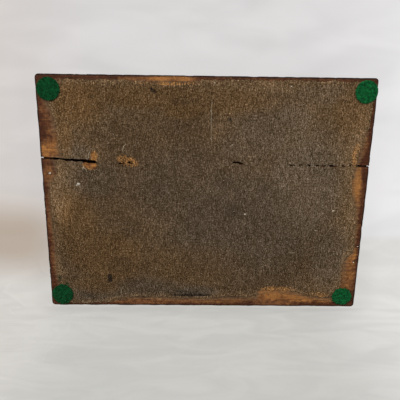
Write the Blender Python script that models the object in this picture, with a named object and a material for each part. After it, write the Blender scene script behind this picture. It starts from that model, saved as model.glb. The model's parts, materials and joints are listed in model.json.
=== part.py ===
"""A table-top writing slope: dovetailed box, hinged sloping lid, rear ledge with two inkwells.

Metres, +Z up. The box stands on its felt feet at z = 0, with the lock at -Y and the ledge at +Y.
"""

import math

import bmesh
import bpy

# Spaces between pieces that touch or slide, and how far a cut runs past the solid
GLUE_GAP = 0.0003
SLIDE_GAP = 0.0005
OVERRUN = 0.002

# Base board, split by a crack along its grain
WIDTH = 0.305
DEPTH = 0.225
BASE_THICKNESS = 0.006
BASE_CORNER_RADIUS = 0.003
BASE_EDGE_ROUND = 0.001
CORNER_STEPS = 5
CRACK_OPENING = 0.0012
# Places along the crack: share of the width, share of the depth from the front, share of the opening
CRACK_SHARES = (
    (0.000, 0.3320, 1.00), (0.065, 0.3380, 0.95), (0.120, 0.3440, 0.90), (0.170, 0.3490, 0.80),
    (0.240, 0.3502, 0.60), (0.280, 0.3498, 0.60), (0.380, 0.3485, 0.35), (0.500, 0.3470, 0.35),
    (0.585, 0.3460, 0.50), (0.612, 0.3465, 0.50), (0.680, 0.3490, 0.35), (0.760, 0.3516, 0.50),
    (0.900, 0.3522, 0.50), (0.960, 0.3528, 0.80), (1.000, 0.3534, 0.95),
)

# Cloth glued under the base board
CLOTH_THICKNESS = 0.0006
# Its torn outline from the front left corner: shares of the width, and of the depth from the front
CLOTH_EDGE_SHARES = (
    (0.036, 0.022), (0.072, 0.024), (0.098, 0.020), (0.148, 0.023), (0.197, 0.020), (0.256, 0.021),
    (0.311, 0.024), (0.341, 0.028), (0.387, 0.029), (0.433, 0.027), (0.475, 0.022), (0.498, 0.017),
    (0.541, 0.015), (0.597, 0.013), (0.656, 0.014), (0.705, 0.016), (0.761, 0.012), (0.820, 0.016),
    (0.859, 0.013), (0.902, 0.015), (0.970, 0.019), (0.987, 0.036), (0.989, 0.089), (0.985, 0.156),
    (0.984, 0.200), (0.975, 0.222), (0.972, 0.258), (0.964, 0.293), (0.959, 0.329), (0.957, 0.349),
    (0.954, 0.364), (0.952, 0.422), (0.954, 0.480), (0.962, 0.507), (0.970, 0.542), (0.975, 0.600),
    (0.977, 0.667), (0.977, 0.733), (0.967, 0.747), (0.954, 0.760), (0.951, 0.800), (0.949, 0.853),
    (0.948, 0.898), (0.931, 0.953), (0.892, 0.951), (0.859, 0.947), (0.833, 0.940), (0.807, 0.927),
    (0.780, 0.921), (0.738, 0.918), (0.695, 0.919), (0.674, 0.918), (0.671, 0.942), (0.669, 0.954),
    (0.610, 0.949), (0.544, 0.954), (0.511, 0.960), (0.459, 0.956), (0.367, 0.955), (0.279, 0.953),
    (0.249, 0.958), (0.216, 0.968), (0.190, 0.979), (0.157, 0.986), (0.118, 0.988), (0.066, 0.986),
    (0.033, 0.951), (0.033, 0.889), (0.030, 0.867), (0.027, 0.836), (0.029, 0.711), (0.026, 0.667),
    (0.022, 0.622), (0.020, 0.556), (0.021, 0.489), (0.022, 0.444), (0.034, 0.431), (0.044, 0.409),
    (0.048, 0.378), (0.044, 0.348), (0.082, 0.348), (0.125, 0.354), (0.138, 0.369), (0.154, 0.376),
    (0.167, 0.379), (0.170, 0.352), (0.169, 0.346), (0.167, 0.311), (0.156, 0.309), (0.151, 0.335),
    (0.125, 0.342), (0.098, 0.339), (0.072, 0.335), (0.067, 0.324), (0.059, 0.293), (0.056, 0.267),
    (0.054, 0.231), (0.051, 0.200), (0.048, 0.169), (0.043, 0.142), (0.036, 0.120), (0.030, 0.098),
    (0.030, 0.053),
)
# Small tears over the crack: middle as shares of width and depth, half length and half width too
TEAR_SHARES = (
    (0.243, 0.350, 0.0070, 0.0034), (0.270, 0.350, 0.0080, 0.0034), (0.598, 0.3465, 0.0140, 0.0034),
    (0.803, 0.3515, 0.0050, 0.0026), (0.852, 0.352, 0.0045, 0.0026), (0.892, 0.352, 0.0070, 0.0030),
)
TEAR_STEPS = 8

# Felt discs under the corners
FELT_THICKNESS = 0.0015
FELT_RADIUS = 0.0105
FELT_INSET = 0.012
# Name, side along X, side along Y, and each disc's inset from the two edges as shares of FELT_INSET
FELT_SHARES = (
    ("felt_foot_front_left", -1, -1, 0.95, 1.09), ("felt_foot_front_right", 1, -1, 0.92, 1.03),
    ("felt_foot_back_left", -1, 1, 0.97, 1.00), ("felt_foot_back_right", 1, 1, 1.06, 0.99),
)

# Walls of the box
WALL_SET_BACK = 0.0004
FRONT_HEIGHT = 0.033
BACK_HEIGHT = 0.088
FRONT_THICKNESS = 0.012
BACK_THICKNESS = 0.009
SIDE_THICKNESS = 0.009
PIN_SPACING = 0.0155
PIN_WIDTH = 0.005
PIN_FLARE_SHARE = 1 / 6

# Ledge and lid, both boards of one thickness
TOP_THICKNESS = 0.009
TOP_EDGE_ROUND = 0.0006
LEDGE_DEPTH = 0.060
LID_GAP = 0.0006
CLEAT_WIDTH = 0.028
TONGUE_LENGTH = 0.005
TONGUE_THICKNESS = 0.003

# Leather and paper rest on the lid
LEATHER_THICKNESS = 0.001
LEATHER_SIDE_MARGIN = 0.012
LEATHER_REAR_MARGIN = 0.024
LEATHER_FRONT_MARGIN = 0.024
REST_SET_BACK = 0.004
REST_WIDTH = 0.009
REST_HEIGHT = 0.006
REST_END_MARGIN = 0.018
REST_ROUND = 0.0022

# Pen groove, a sunk half round with rounded ends
GROOVE_LENGTH = 0.150
GROOVE_RADIUS = 0.008
GROOVE_DEPTH = 0.0062

# Butt hinges of the lid
HINGE_LENGTH = 0.040
HINGE_INSET = 0.065
LEAF_THICKNESS = 0.0012
LEAF_REACH = 0.014
KNUCKLE_RADIUS = 0.0024
HINGE_PIN_RADIUS = 0.001
LEAF_SCREW_SHARE = 0.3

# Countersunk wood screws
SCREW_HEAD_RADIUS = 0.0021
SCREW_HEAD_RIM = 0.0002
SCREW_HEAD_DEPTH = 0.0012
SCREW_SHANK_RADIUS = 0.001
SCREW_LENGTH = 0.0062
SCREW_TIP = 0.0015
SCREW_SLOT_WIDTH = 0.0006
SCREW_SLOT_DEPTH = 0.0005

# Lock let into the front wall, and the link plate under the lid
LOCK_WIDTH = 0.044
LOCK_HEIGHT = 0.022
LOCK_DEPTH = 0.008
LOCK_WALL = 0.0008
PLATE_THICKNESS = 0.001
PLATE_EAR = 0.008
BOLT_LENGTH = 0.012
BOLT_HEIGHT = 0.005
BOLT_NOSE = 0.002
BOLT_NOSE_LENGTH = 0.007
LINK_LENGTH = 0.032
LINK_WIDTH = 0.008
LINK_THICKNESS = 0.0012
LINK_SCREW_INSET = 0.006
TAB_THICKNESS = 0.002
TAB_EYE = 0.0027
TAB_RIM = 0.0007
TAB_CLEARANCE = 0.0005
KEYHOLE_DROP = 0.0115
KEYHOLE_RADIUS = 0.0022
KEYHOLE_SLIT = 0.0018
KEYHOLE_LENGTH = 0.0065
ESCUTCHEON_RADIUS = 0.0085
ESCUTCHEON_THICKNESS = 0.001

# Ink cells, shelf and drawer under the ledge
CELL_THICKNESS = 0.006
CELL_SET_BACK = 0.004
CELL_WIDTH = 0.0481
SHELF_THICKNESS = 0.005
DRAWER_HEIGHT = 0.028
DRAWER_FRONT = 0.006
DRAWER_WALL = 0.004
DRAWER_BOTTOM = 0.003
KNOB_RADIUS = 0.0055
KNOB_NECK_RADIUS = 0.0026
KNOB_REACH = 0.0105
KNOB_SPIGOT = 0.004

# Inkwells
INKWELL_INSET = 0.030
WELL_RADIUS = 0.015
WELL_DEPTH = 0.040
WELL_WALL = 0.003
WELL_CHAMFER = 0.002
WELL_FLOOR = 0.004
NECK_RADIUS = 0.0095
NECK_WALL = 0.0025
NECK_RISE = 0.004
COLLAR_FLANGE_RADIUS = 0.019
COLLAR_FLANGE = 0.0012
COLLAR_RADIUS = 0.0125
COLLAR_HEIGHT = 0.005
CAP_RADIUS = 0.0135
CAP_SKIRT = 0.002
CAP_HEIGHT = 0.0085
CAP_HOLLOW_RADIUS = 0.0112
CAP_HOLLOW = 0.003
CAP_KNUCKLE_RADIUS = 0.0016
CAP_PIN_RADIUS = 0.0007
CAP_KNUCKLE_WIDTH = 0.004
CAP_EAR_WIDTH = 0.0025

# Facets round a turned piece
TURN_STEPS = 24
SMALL_TURN_STEPS = 16
DOME_STEPS = 7

SIDES = (("left", -1), ("right", 1))

# Heights and places that follow from the sizes
HALF_X = WIDTH / 2 - WALL_SET_BACK
HALF_Y = DEPTH / 2 - WALL_SET_BACK
CLOTH_Z = FELT_THICKNESS + GLUE_GAP
BASE_Z = CLOTH_Z + CLOTH_THICKNESS + GLUE_GAP
FLOOR_Z = BASE_Z + BASE_THICKNESS
WALL_Z = FLOOR_Z + GLUE_GAP
WALL_TOP_Z = WALL_Z + BACK_HEIGHT
FRONT_TOP_Z = WALL_Z + FRONT_HEIGHT
INNER_X = HALF_X - SIDE_THICKNESS
FRONT_INNER_Y = FRONT_THICKNESS - HALF_Y
BACK_INNER_Y = HALF_Y - BACK_THICKNESS
LEDGE_Y = HALF_Y - LEDGE_DEPTH
SLOPE = math.atan2(BACK_HEIGHT - FRONT_HEIGHT, LEDGE_Y + HALF_Y)
HALF_SLOPE = SLOPE / 2

# The lid's hinge axis, on the plane that halves the angle between lid and ledge
KNUCKLE_RISE = KNUCKLE_RADIUS - LEAF_THICKNESS
AXIS_STACK = GLUE_GAP + TOP_THICKNESS + KNUCKLE_RISE
AXIS_Y = LEDGE_Y - AXIS_STACK * math.tan(HALF_SLOPE)
AXIS_Z = WALL_TOP_Z + AXIS_STACK
TOP_FACE = -KNUCKLE_RISE
UNDER_FACE = TOP_FACE - TOP_THICKNESS

# The lock's places: its case hangs under the front wall's outer top edge
LOCK_TOP_Z = FRONT_TOP_Z
PLATE_FACE_Y = FRONT_INNER_Y - PLATE_THICKNESS
CASE_BACK_Y = PLATE_FACE_Y - GLUE_GAP
CASE_FRONT_Y = CASE_BACK_Y - LOCK_DEPTH
BOLT_TOP_Z = LOCK_TOP_Z - LOCK_WALL - GLUE_GAP
BOLT_Z = BOLT_TOP_Z - BOLT_HEIGHT / 2
TAB_HALF = TAB_EYE / 2 + TAB_RIM
BOLT_Y = PLATE_FACE_Y - TAB_CLEARANCE - TAB_HALF * (math.sin(SLOPE) + math.cos(SLOPE))

# Under the ledge
CELL_FRONT_Y = LEDGE_Y + CELL_SET_BACK
BAY_HALF_WIDTH = INNER_X - CELL_WIDTH
DRAWER_Z = FLOOR_Z + SLIDE_GAP
SHELF_Z = DRAWER_Z + DRAWER_HEIGHT + SLIDE_GAP

# The inkwell's places in the ledge's own frame
WELL_Y = HALF_Y - LEDGE_DEPTH / 2 - AXIS_Y
SEAT = GLUE_GAP + COLLAR_HEIGHT + GLUE_GAP
CAP_AXIS_Y = CAP_RADIUS + SLIDE_GAP + CAP_KNUCKLE_RADIUS


def clear_scene():
    for old in list(bpy.data.objects):
        bpy.data.objects.remove(old, do_unlink=True)


def finish(name, colour, roughness, metallic=0.0):
    material = bpy.data.materials.new(name)
    material.use_nodes = True
    shader = material.node_tree.nodes["Principled BSDF"]
    shader.inputs["Base Color"].default_value = (*colour, 1.0)
    shader.inputs["Roughness"].default_value = roughness
    shader.inputs["Metallic"].default_value = metallic
    return material


def add(name, mesh, material, parent=None, location=(0, 0, 0), tilt=0):
    obj = bpy.data.objects.new(name, mesh)
    obj.location = location
    obj.rotation_euler.x = tilt
    obj.parent = parent
    if material and not mesh.materials:
        mesh.materials.append(material)
    bpy.context.scene.collection.objects.link(obj)
    return obj


def frame_at(name, location, tilt=0):
    """An empty on a joint's axis, which carries what turns or lies with it."""
    empty = bpy.data.objects.new(name, None)
    empty.location = location
    empty.rotation_euler.x = tilt
    bpy.context.scene.collection.objects.link(empty)
    return empty


def mesh_from(bm, name, round_piece=False):
    bmesh.ops.recalc_face_normals(bm, faces=bm.faces[:])
    mesh = bpy.data.meshes.new(name)
    bm.to_mesh(mesh)
    bm.free()
    if round_piece:
        mesh.shade_smooth()
        mesh.set_sharp_from_angle(angle=math.radians(35))
    return mesh


def lofted(bm, rings):
    """Joins rings of as many points each with faces, and closes the first and the last ring."""
    loops = [[bm.verts.new(point) for point in ring] for ring in rings]
    for low, high in zip(loops, loops[1:]):
        for i, start in enumerate(low):
            j = (i + 1) % len(low)
            bm.faces.new((start, low[j], high[j], high[i]))
    bm.faces.new(loops[0][::-1])
    bm.faces.new(loops[-1])
    return loops


def loft(name, rings):
    bm = bmesh.new()
    lofted(bm, rings)
    return mesh_from(bm, name)


def along_x(name, outline, start, end):
    """A bar along X whose cross-section is an outline of (y, z) points."""
    return loft(name, [[(x, y, z) for y, z in outline] for x in (start, end)])


def block(name, low, high, material, parent=None):
    """A board between two corners, with its origin in its middle."""
    middle = [(a + b) / 2 for a, b in zip(low, high)]
    half = [(b - a) / 2 for a, b in zip(low, high)]
    bm = bmesh.new()
    bmesh.ops.create_cube(bm, size=2)
    bmesh.ops.scale(bm, vec=half, verts=bm.verts[:])
    return add(name, mesh_from(bm, name), material, parent, middle)


def turned(name, profile, steps=TURN_STEPS, closed=False):
    """Spins a half-section of (radius, z) points round Z. An open profile starts and ends on the axis."""
    bm = bmesh.new()
    verts = [bm.verts.new((radius, 0, z)) for radius, z in profile]
    edges = [bm.edges.new(pair) for pair in zip(verts, verts[1:])]
    if closed:
        edges.append(bm.edges.new((verts[-1], verts[0])))
    bmesh.ops.spin(
        bm, geom=verts + edges, cent=(0, 0, 0), axis=(0, 0, 1), angle=math.tau, steps=steps, use_merge=True
    )
    bmesh.ops.remove_doubles(bm, verts=bm.verts[:], dist=GLUE_GAP / 100)
    return mesh_from(bm, name, round_piece=True)


def arc(middle, radius, start, end, steps):
    """Points on a circle round middle, from one angle in degrees to another."""
    angles = [math.radians(start + (end - start) * i / steps) for i in range(steps + 1)]
    return [(middle[0] + radius * math.cos(a), middle[1] + radius * math.sin(a)) for a in angles]


def as_cutter(obj):
    obj.hide_render = True
    obj.display_type = "WIRE"
    return obj


def shape_with(target, tool, operation="DIFFERENCE"):
    """Cuts the tool out of the target, or joins it on, with a live Boolean."""
    modifier = target.modifiers.new(tool.name, "BOOLEAN")
    modifier.operation = operation
    modifier.object = tool


def cut_block(target, name, low, high, parent=None):
    shape_with(target, as_cutter(block("cutter_" + name, low, high, None, parent)))


def cut_turned(target, name, profile, parent, location, tilt=0, steps=TURN_STEPS):
    mesh = turned("cutter_" + name, profile, steps)
    shape_with(target, as_cutter(add("cutter_" + name, mesh, None, parent, location, tilt)))


def rod_profile(radius, low, high):
    return ((0, low), (radius, low), (radius, high), (0, high))


def rod_along_x(name, radius, start, end, material, parent, location=(0, 0, 0)):
    mesh = along_x(name, arc((0, 0), radius, 0, 360, SMALL_TURN_STEPS)[:-1], start, end)
    mesh.shade_smooth()
    mesh.set_sharp_from_angle(angle=math.radians(35))
    return add(name, mesh, material, parent, location)


def round_edges(obj, width):
    bevel = obj.modifiers.new("rounded edges", "BEVEL")
    bevel.width = width
    bevel.segments = 2
    bevel.limit_method = "ANGLE"
    bevel.angle_limit = math.radians(40)


def settled(obj):
    """The object's mesh with its modifiers worked in; the object itself goes."""
    graph = bpy.context.evaluated_depsgraph_get()
    mesh = bpy.data.meshes.new_from_object(obj.evaluated_get(graph))
    bpy.data.objects.remove(obj, do_unlink=True)
    return mesh


def slope_height(y):
    """Height of the side walls' sloping edge."""
    return FRONT_TOP_Z + (y + HALF_Y) * math.tan(SLOPE)


def lid_rear(z):
    """Rear face of the lid in the lid's frame, on the plane that halves the angle."""
    return z * math.tan(HALF_SLOPE) - LID_GAP / 2


def lid_front(z):
    """Front face of the lid in the lid's frame, plumb over the front wall."""
    return (z * math.sin(SLOPE) - HALF_Y - AXIS_Y) / math.cos(SLOPE)


def in_lid_frame(y, z):
    """A point beside the box, seen in the closed lid's frame."""
    away, up = y - AXIS_Y, z - AXIS_Z
    along = away * math.cos(SLOPE) + up * math.sin(SLOPE)
    return along, up * math.cos(SLOPE) - away * math.sin(SLOPE)


def screw_profile(grow, above):
    """Half-section of a countersunk screw, made wider by grow and carried above its head."""
    head, shank = SCREW_HEAD_RADIUS + grow, SCREW_SHANK_RADIUS + grow
    return (
        (0, above), (head, above), (head, -SCREW_HEAD_RIM), (shank, -SCREW_HEAD_DEPTH),
        (shank, SCREW_TIP - SCREW_LENGTH), (0, -SCREW_LENGTH - grow),
    )


def screw_mesh():
    """One brass screw with its slot, shared by all of them."""
    blank = add("screw_blank", turned("wood_screw", screw_profile(0, 0), SMALL_TURN_STEPS), None)
    reach = SCREW_HEAD_RADIUS + OVERRUN
    slot = block(
        "screw_slot", (-reach, -SCREW_SLOT_WIDTH / 2, -SCREW_SLOT_DEPTH),
        (reach, SCREW_SLOT_WIDTH / 2, OVERRUN), None,
    )
    shape_with(blank, slot)
    mesh = settled(blank)
    bpy.data.objects.remove(slot, do_unlink=True)
    return mesh


def drive_screw(name, mesh, parent, location, carriers, tilt=0):
    """Sets a screw and sinks its countersunk hole into every piece that it passes."""
    add(name, mesh, None, parent, location, tilt)
    profile = screw_profile(GLUE_GAP, OVERRUN)
    hole = turned("cutter_" + name, profile, SMALL_TURN_STEPS)
    cutter = as_cutter(add("cutter_" + name, hole, None, parent, location, tilt))
    for carrier in carriers:
        shape_with(carrier, cutter)


def felt_feet(felt):
    for name, x_side, y_side, x_share, y_share in FELT_SHARES:
        x = x_side * (WIDTH / 2 - x_share * FELT_INSET)
        y = y_side * (DEPTH / 2 - y_share * FELT_INSET)
        disc = turned(name, rod_profile(FELT_RADIUS, 0, FELT_THICKNESS))
        add(name, disc, felt, location=(x, y, 0))


def on_base(x_share, y_share):
    return (x_share - 1 / 2) * WIDTH, (y_share - 1 / 2) * DEPTH


def tear_outline(x_share, y_share, length_share, width_share):
    """A small tear: an oval round a place on the crack."""
    x, y = on_base(x_share, y_share)
    turns = [math.tau * i / TEAR_STEPS for i in range(TEAR_STEPS)]
    return [
        (x + length_share * WIDTH * math.cos(t), y + width_share * DEPTH * math.sin(t)) for t in turns
    ]


def base_cloth(cloth):
    """The cloth's outline and tears are filled as one flat face, which is then given its thickness."""
    bm = bmesh.new()
    outlines = [[on_base(*share) for share in CLOTH_EDGE_SHARES]]
    outlines += [tear_outline(*share) for share in TEAR_SHARES]
    for outline in outlines:
        verts = [bm.verts.new((x, y, CLOTH_Z)) for x, y in outline]
        for i, start in enumerate(verts):
            bm.edges.new((start, verts[(i + 1) % len(verts)]))
    bmesh.ops.triangle_fill(bm, use_beauty=True, edges=bm.edges[:])
    grown = bmesh.ops.extrude_face_region(bm, geom=bm.faces[:], use_keep_orig=True)
    top = [item for item in grown["geom"] if isinstance(item, bmesh.types.BMVert)]
    bmesh.ops.translate(bm, vec=(0, 0, CLOTH_THICKNESS), verts=top)
    add("base_cloth", mesh_from(bm, "base_cloth"), cloth)


def crack_line(side):
    """The lip of the crack on one side, from left to right."""
    points = []
    for x_share, y_share, opening_share in CRACK_SHARES:
        x, y = on_base(x_share, y_share)
        points.append((x, y + side * opening_share * CRACK_OPENING / 2))
    return points


def base_corner(x_side, y_side, start):
    middle = (x_side * (WIDTH / 2 - BASE_CORNER_RADIUS), y_side * (DEPTH / 2 - BASE_CORNER_RADIUS))
    return arc(middle, BASE_CORNER_RADIUS, start, start + 90, CORNER_STEPS)


def base_half(name, corners, crack, wood):
    """Half of the base board: rounded outside edges, sharp lips along the crack."""
    bm = bmesh.new()
    outline = corners + crack
    loops = lofted(bm, [[(x, y, z) for x, y in outline] for z in (BASE_Z, FLOOR_Z)])
    outside = []
    for loop in loops:
        chain = loop[: len(corners) + 1]
        outside.append(bm.edges.get((loop[-1], loop[0])))
        outside += [bm.edges.get(pair) for pair in zip(chain, chain[1:])]
    bmesh.ops.recalc_face_normals(bm, faces=bm.faces[:])
    bmesh.ops.bevel(
        bm, geom=outside, offset=BASE_EDGE_ROUND, segments=2, profile=1 / 2, affect="EDGES"
    )
    add(name, mesh_from(bm, name), wood)


def base_board(wood):
    front = base_corner(-1, -1, 180) + base_corner(1, -1, 270)
    back = base_corner(1, 1, 0) + base_corner(-1, 1, 90)
    base_half("base_board_front", front, crack_line(-1)[::-1], wood)
    base_half("base_board_back", back, crack_line(1), wood)


def pin_heights(height):
    """Heights of a corner's dovetail pins, evenly spread and no closer than their spacing."""
    count = int(height / PIN_SPACING)
    return [WALL_Z + height * (i + 1) / (count + 1) for i in range(count)]


def socket(middle, y_side, thickness):
    """The notch for one pin in a side wall's end, from its lower to its upper outside corner."""
    narrow = PIN_WIDTH / 2 + GLUE_GAP
    wide = narrow + PIN_FLARE_SHARE * thickness
    end, shoulder = y_side * HALF_Y, y_side * (HALF_Y - thickness - GLUE_GAP)
    return [
        (end, middle - narrow), (shoulder, middle - wide), (shoulder, middle + wide), (end, middle + narrow),
    ]


def side_walls(wood):
    outline = [(-HALF_Y, WALL_Z), (HALF_Y, WALL_Z)]
    for middle in pin_heights(BACK_HEIGHT):
        outline += socket(middle, 1, BACK_THICKNESS)
    outline += [(HALF_Y, WALL_TOP_Z), (LEDGE_Y, WALL_TOP_Z), (-HALF_Y, FRONT_TOP_Z)]
    for middle in pin_heights(FRONT_HEIGHT)[::-1]:
        outline += socket(middle, -1, FRONT_THICKNESS)[::-1]
    for side, sign in SIDES:
        name = side + "_wall"
        add(name, along_x(name, outline, sign * INNER_X, sign * HALF_X), wood)


def pinned_ring(y, top, pins, half_pin):
    """The outline of a front or back wall at one depth, with its pins at both ends."""
    body = INNER_X - GLUE_GAP
    right = [(body, WALL_Z)]
    for middle in pins:
        low, high = middle - half_pin, middle + half_pin
        right += [(body, low), (HALF_X, low), (HALF_X, high), (body, high)]
    right.append((body, top))
    return [(x, y, z) for x, z in right] + [(-x, y, z) for x, z in right[::-1]]


def pinned_wall(name, outer_y, inner_y, outer_top, inner_top, pins, wood):
    narrow = PIN_WIDTH / 2
    wide = narrow + PIN_FLARE_SHARE * abs(outer_y - inner_y)
    outer = pinned_ring(outer_y, outer_top, pins, narrow)
    inner = pinned_ring(inner_y, inner_top, pins, wide)
    return add(name, loft(name, [outer, inner]), wood)


def front_wall(wood):
    pins = pin_heights(FRONT_HEIGHT)
    inner_top = slope_height(FRONT_INNER_Y)
    wall = pinned_wall("front_wall", -HALF_Y, FRONT_INNER_Y, FRONT_TOP_Z, inner_top, pins, wood)
    case_half, case_low = LOCK_WIDTH / 2 + GLUE_GAP, LOCK_TOP_Z - LOCK_HEIGHT - GLUE_GAP
    plate_half = LOCK_WIDTH / 2 + PLATE_EAR + GLUE_GAP
    top, behind = inner_top + OVERRUN, FRONT_INNER_Y + OVERRUN
    cut_block(wall, "lock_case", (-case_half, CASE_FRONT_Y - GLUE_GAP, case_low), (case_half, behind, top))
    cut_block(wall, "lock_plate", (-plate_half, CASE_BACK_Y, case_low), (plate_half, behind, top))
    return wall


def back_wall(wood):
    pins = pin_heights(BACK_HEIGHT)
    pinned_wall("back_wall", HALF_Y, BACK_INNER_Y, WALL_TOP_Z, WALL_TOP_Z, pins, wood)


def pen_groove(ledge, frame):
    """A sunk rod with ball ends, its middle above the ledge so that only its lower part cuts."""
    straight = GROOVE_LENGTH / 2 - GROOVE_RADIUS
    lower = [(radius, -z) for z, radius in arc((straight, 0), GROOVE_RADIUS, 0, 90, CORNER_STEPS)]
    upper = [(radius, z) for z, radius in arc((straight, 0), GROOVE_RADIUS, 90, 0, CORNER_STEPS)]
    cutter = add("cutter_pen_groove", turned("pen_groove", lower + upper), None, frame)
    cutter.location = (0, WELL_Y, TOP_FACE + GROOVE_RADIUS - GROOVE_DEPTH)
    cutter.rotation_euler.y = math.radians(90)
    shape_with(ledge, as_cutter(cutter))


def ledge_board(frame, wood):
    def front(z):
        return LID_GAP / 2 - z * math.tan(HALF_SLOPE)

    back = HALF_Y - AXIS_Y
    outline = [
        (front(UNDER_FACE), UNDER_FACE), (back, UNDER_FACE), (back, TOP_FACE), (front(TOP_FACE), TOP_FACE),
    ]
    ledge = add("ledge_board", along_x("ledge_board", outline, -HALF_X, HALF_X), wood, frame)
    round_edges(ledge, TOP_EDGE_ROUND)
    pen_groove(ledge, frame)
    hole = rod_profile(WELL_RADIUS + SLIDE_GAP, -OVERRUN, TOP_THICKNESS + OVERRUN)
    for side, sign in SIDES:
        place = (sign * (HALF_X - INKWELL_INSET), WELL_Y, UNDER_FACE)
        cut_turned(ledge, "inkwell_hole_" + side, hole, frame, place)
    return ledge


def lid_slab(name, outline, wood, frame):
    """A board of the lid: an outline of (x, z) points between the lid's rear and front faces."""
    rings = [[(x, reach(z), z) for x, z in outline] for reach in (lid_rear, lid_front)]
    slab = add(name, loft(name, rings), wood, frame)
    round_edges(slab, TOP_EDGE_ROUND)
    return slab


def lid_board(frame, wood):
    """The middle board, with a tongue along each end."""
    body = HALF_X - CLEAT_WIDTH - GLUE_GAP
    tip = body + TONGUE_LENGTH
    tongue_low = (TOP_FACE + UNDER_FACE - TONGUE_THICKNESS) / 2
    tongue_high = tongue_low + TONGUE_THICKNESS
    right = [
        (body, UNDER_FACE), (body, tongue_low), (tip, tongue_low),
        (tip, tongue_high), (body, tongue_high), (body, TOP_FACE),
    ]
    board = lid_slab("lid_board", right + [(-x, z) for x, z in right[::-1]], wood, frame)
    half, rear, front = leather_bed()
    low = (-half - GLUE_GAP, front - GLUE_GAP, TOP_FACE - LEATHER_THICKNESS - GLUE_GAP)
    cut_block(board, "leather", low, (half + GLUE_GAP, rear + GLUE_GAP, OVERRUN), frame)
    return board


def lid_cleats(frame, wood):
    """The two end boards, grooved over the tongues."""
    inner, outer = HALF_X - CLEAT_WIDTH, HALF_X
    bottom = inner + TONGUE_LENGTH + GLUE_GAP
    groove_low = (TOP_FACE + UNDER_FACE - TONGUE_THICKNESS) / 2 - GLUE_GAP
    groove_high = groove_low + TONGUE_THICKNESS + 2 * GLUE_GAP
    outline = [
        (inner, UNDER_FACE), (outer, UNDER_FACE), (outer, TOP_FACE), (inner, TOP_FACE),
        (inner, groove_high), (bottom, groove_high), (bottom, groove_low), (inner, groove_low),
    ]
    for side, sign in SIDES:
        lid_slab("lid_cleat_" + side, [(sign * x, z) for x, z in outline], wood, frame)


def leather_bed():
    """Half width, rear edge and front edge of the leather in the lid's frame."""
    half = HALF_X - CLEAT_WIDTH - GLUE_GAP - LEATHER_SIDE_MARGIN
    return half, -LEATHER_REAR_MARGIN, lid_front(TOP_FACE) + LEATHER_FRONT_MARGIN


def writing_leather(frame, leather):
    half, rear, front = leather_bed()
    low = (-half, front, TOP_FACE - LEATHER_THICKNESS)
    block("writing_leather", low, (half, rear, TOP_FACE), leather, frame)


def paper_rest(frame, wood):
    """A strip with a rounded top along the lid's front edge."""
    front = lid_front(TOP_FACE) + REST_SET_BACK
    low = TOP_FACE + GLUE_GAP
    rear, round_z = front + REST_WIDTH, low + REST_HEIGHT - REST_ROUND
    outline = [(front, low), (rear, low)]
    outline += arc((rear - REST_ROUND, round_z), REST_ROUND, 0, 90, CORNER_STEPS)
    outline += arc((front + REST_ROUND, round_z), REST_ROUND, 90, 180, CORNER_STEPS)
    half = HALF_X - REST_END_MARGIN
    mesh = along_x("paper_rest", outline, -half, half)
    mesh.shade_smooth()
    mesh.set_sharp_from_angle(angle=math.radians(35))
    add("paper_rest", mesh, wood, frame)


def leaf_knuckle(name, side, start, end, parent):
    """A knuckle and the web that joins it to its leaf, as one bar along X to be joined on."""
    low, high = -KNUCKLE_RADIUS, LEAF_THICKNESS - KNUCKLE_RADIUS
    turn = math.degrees(math.asin(high / KNUCKLE_RADIUS))
    web = KNUCKLE_RADIUS + 2 * GLUE_GAP
    outline = arc((0, 0), KNUCKLE_RADIUS, turn, 270, SMALL_TURN_STEPS) + [(web, low), (web, high)]
    mesh = along_x(name, [(side * y, z) for y, z in outline], start, end)
    return as_cutter(add(name, mesh, None, parent))


def hinge_leaf(name, side, spans, middle_x, frame, brass):
    """A flush leaf on one side of the axis, with knuckles over the given spans of its length."""
    near, far = side * (KNUCKLE_RADIUS + GLUE_GAP), side * LEAF_REACH
    low = (middle_x - HINGE_LENGTH / 2, min(near, far), -KNUCKLE_RADIUS)
    high = (middle_x + HINGE_LENGTH / 2, max(near, far), LEAF_THICKNESS - KNUCKLE_RADIUS)
    leaf = block(name, low, high, brass, frame)
    for index, (start, end) in enumerate(spans):
        knuckle = leaf_knuckle(
            "knuckle_%s_%d" % (name, index), side, middle_x + start, middle_x + end, frame
        )
        shape_with(leaf, knuckle, "UNION")
    reach = HINGE_LENGTH / 2 + OVERRUN
    bore = rod_along_x(
        "bore_" + name, HINGE_PIN_RADIUS + GLUE_GAP, middle_x - reach, middle_x + reach, None, frame
    )
    shape_with(leaf, as_cutter(bore))
    return leaf


def leaf_recess(board, name, side, middle_x, frame):
    half = HINGE_LENGTH / 2 + GLUE_GAP
    far = side * (LEAF_REACH + GLUE_GAP)
    near = -side * OVERRUN
    low = (middle_x - half, min(near, far), -KNUCKLE_RADIUS - GLUE_GAP)
    cut_block(board, name, low, (middle_x + half, max(near, far), OVERRUN), frame)


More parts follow.
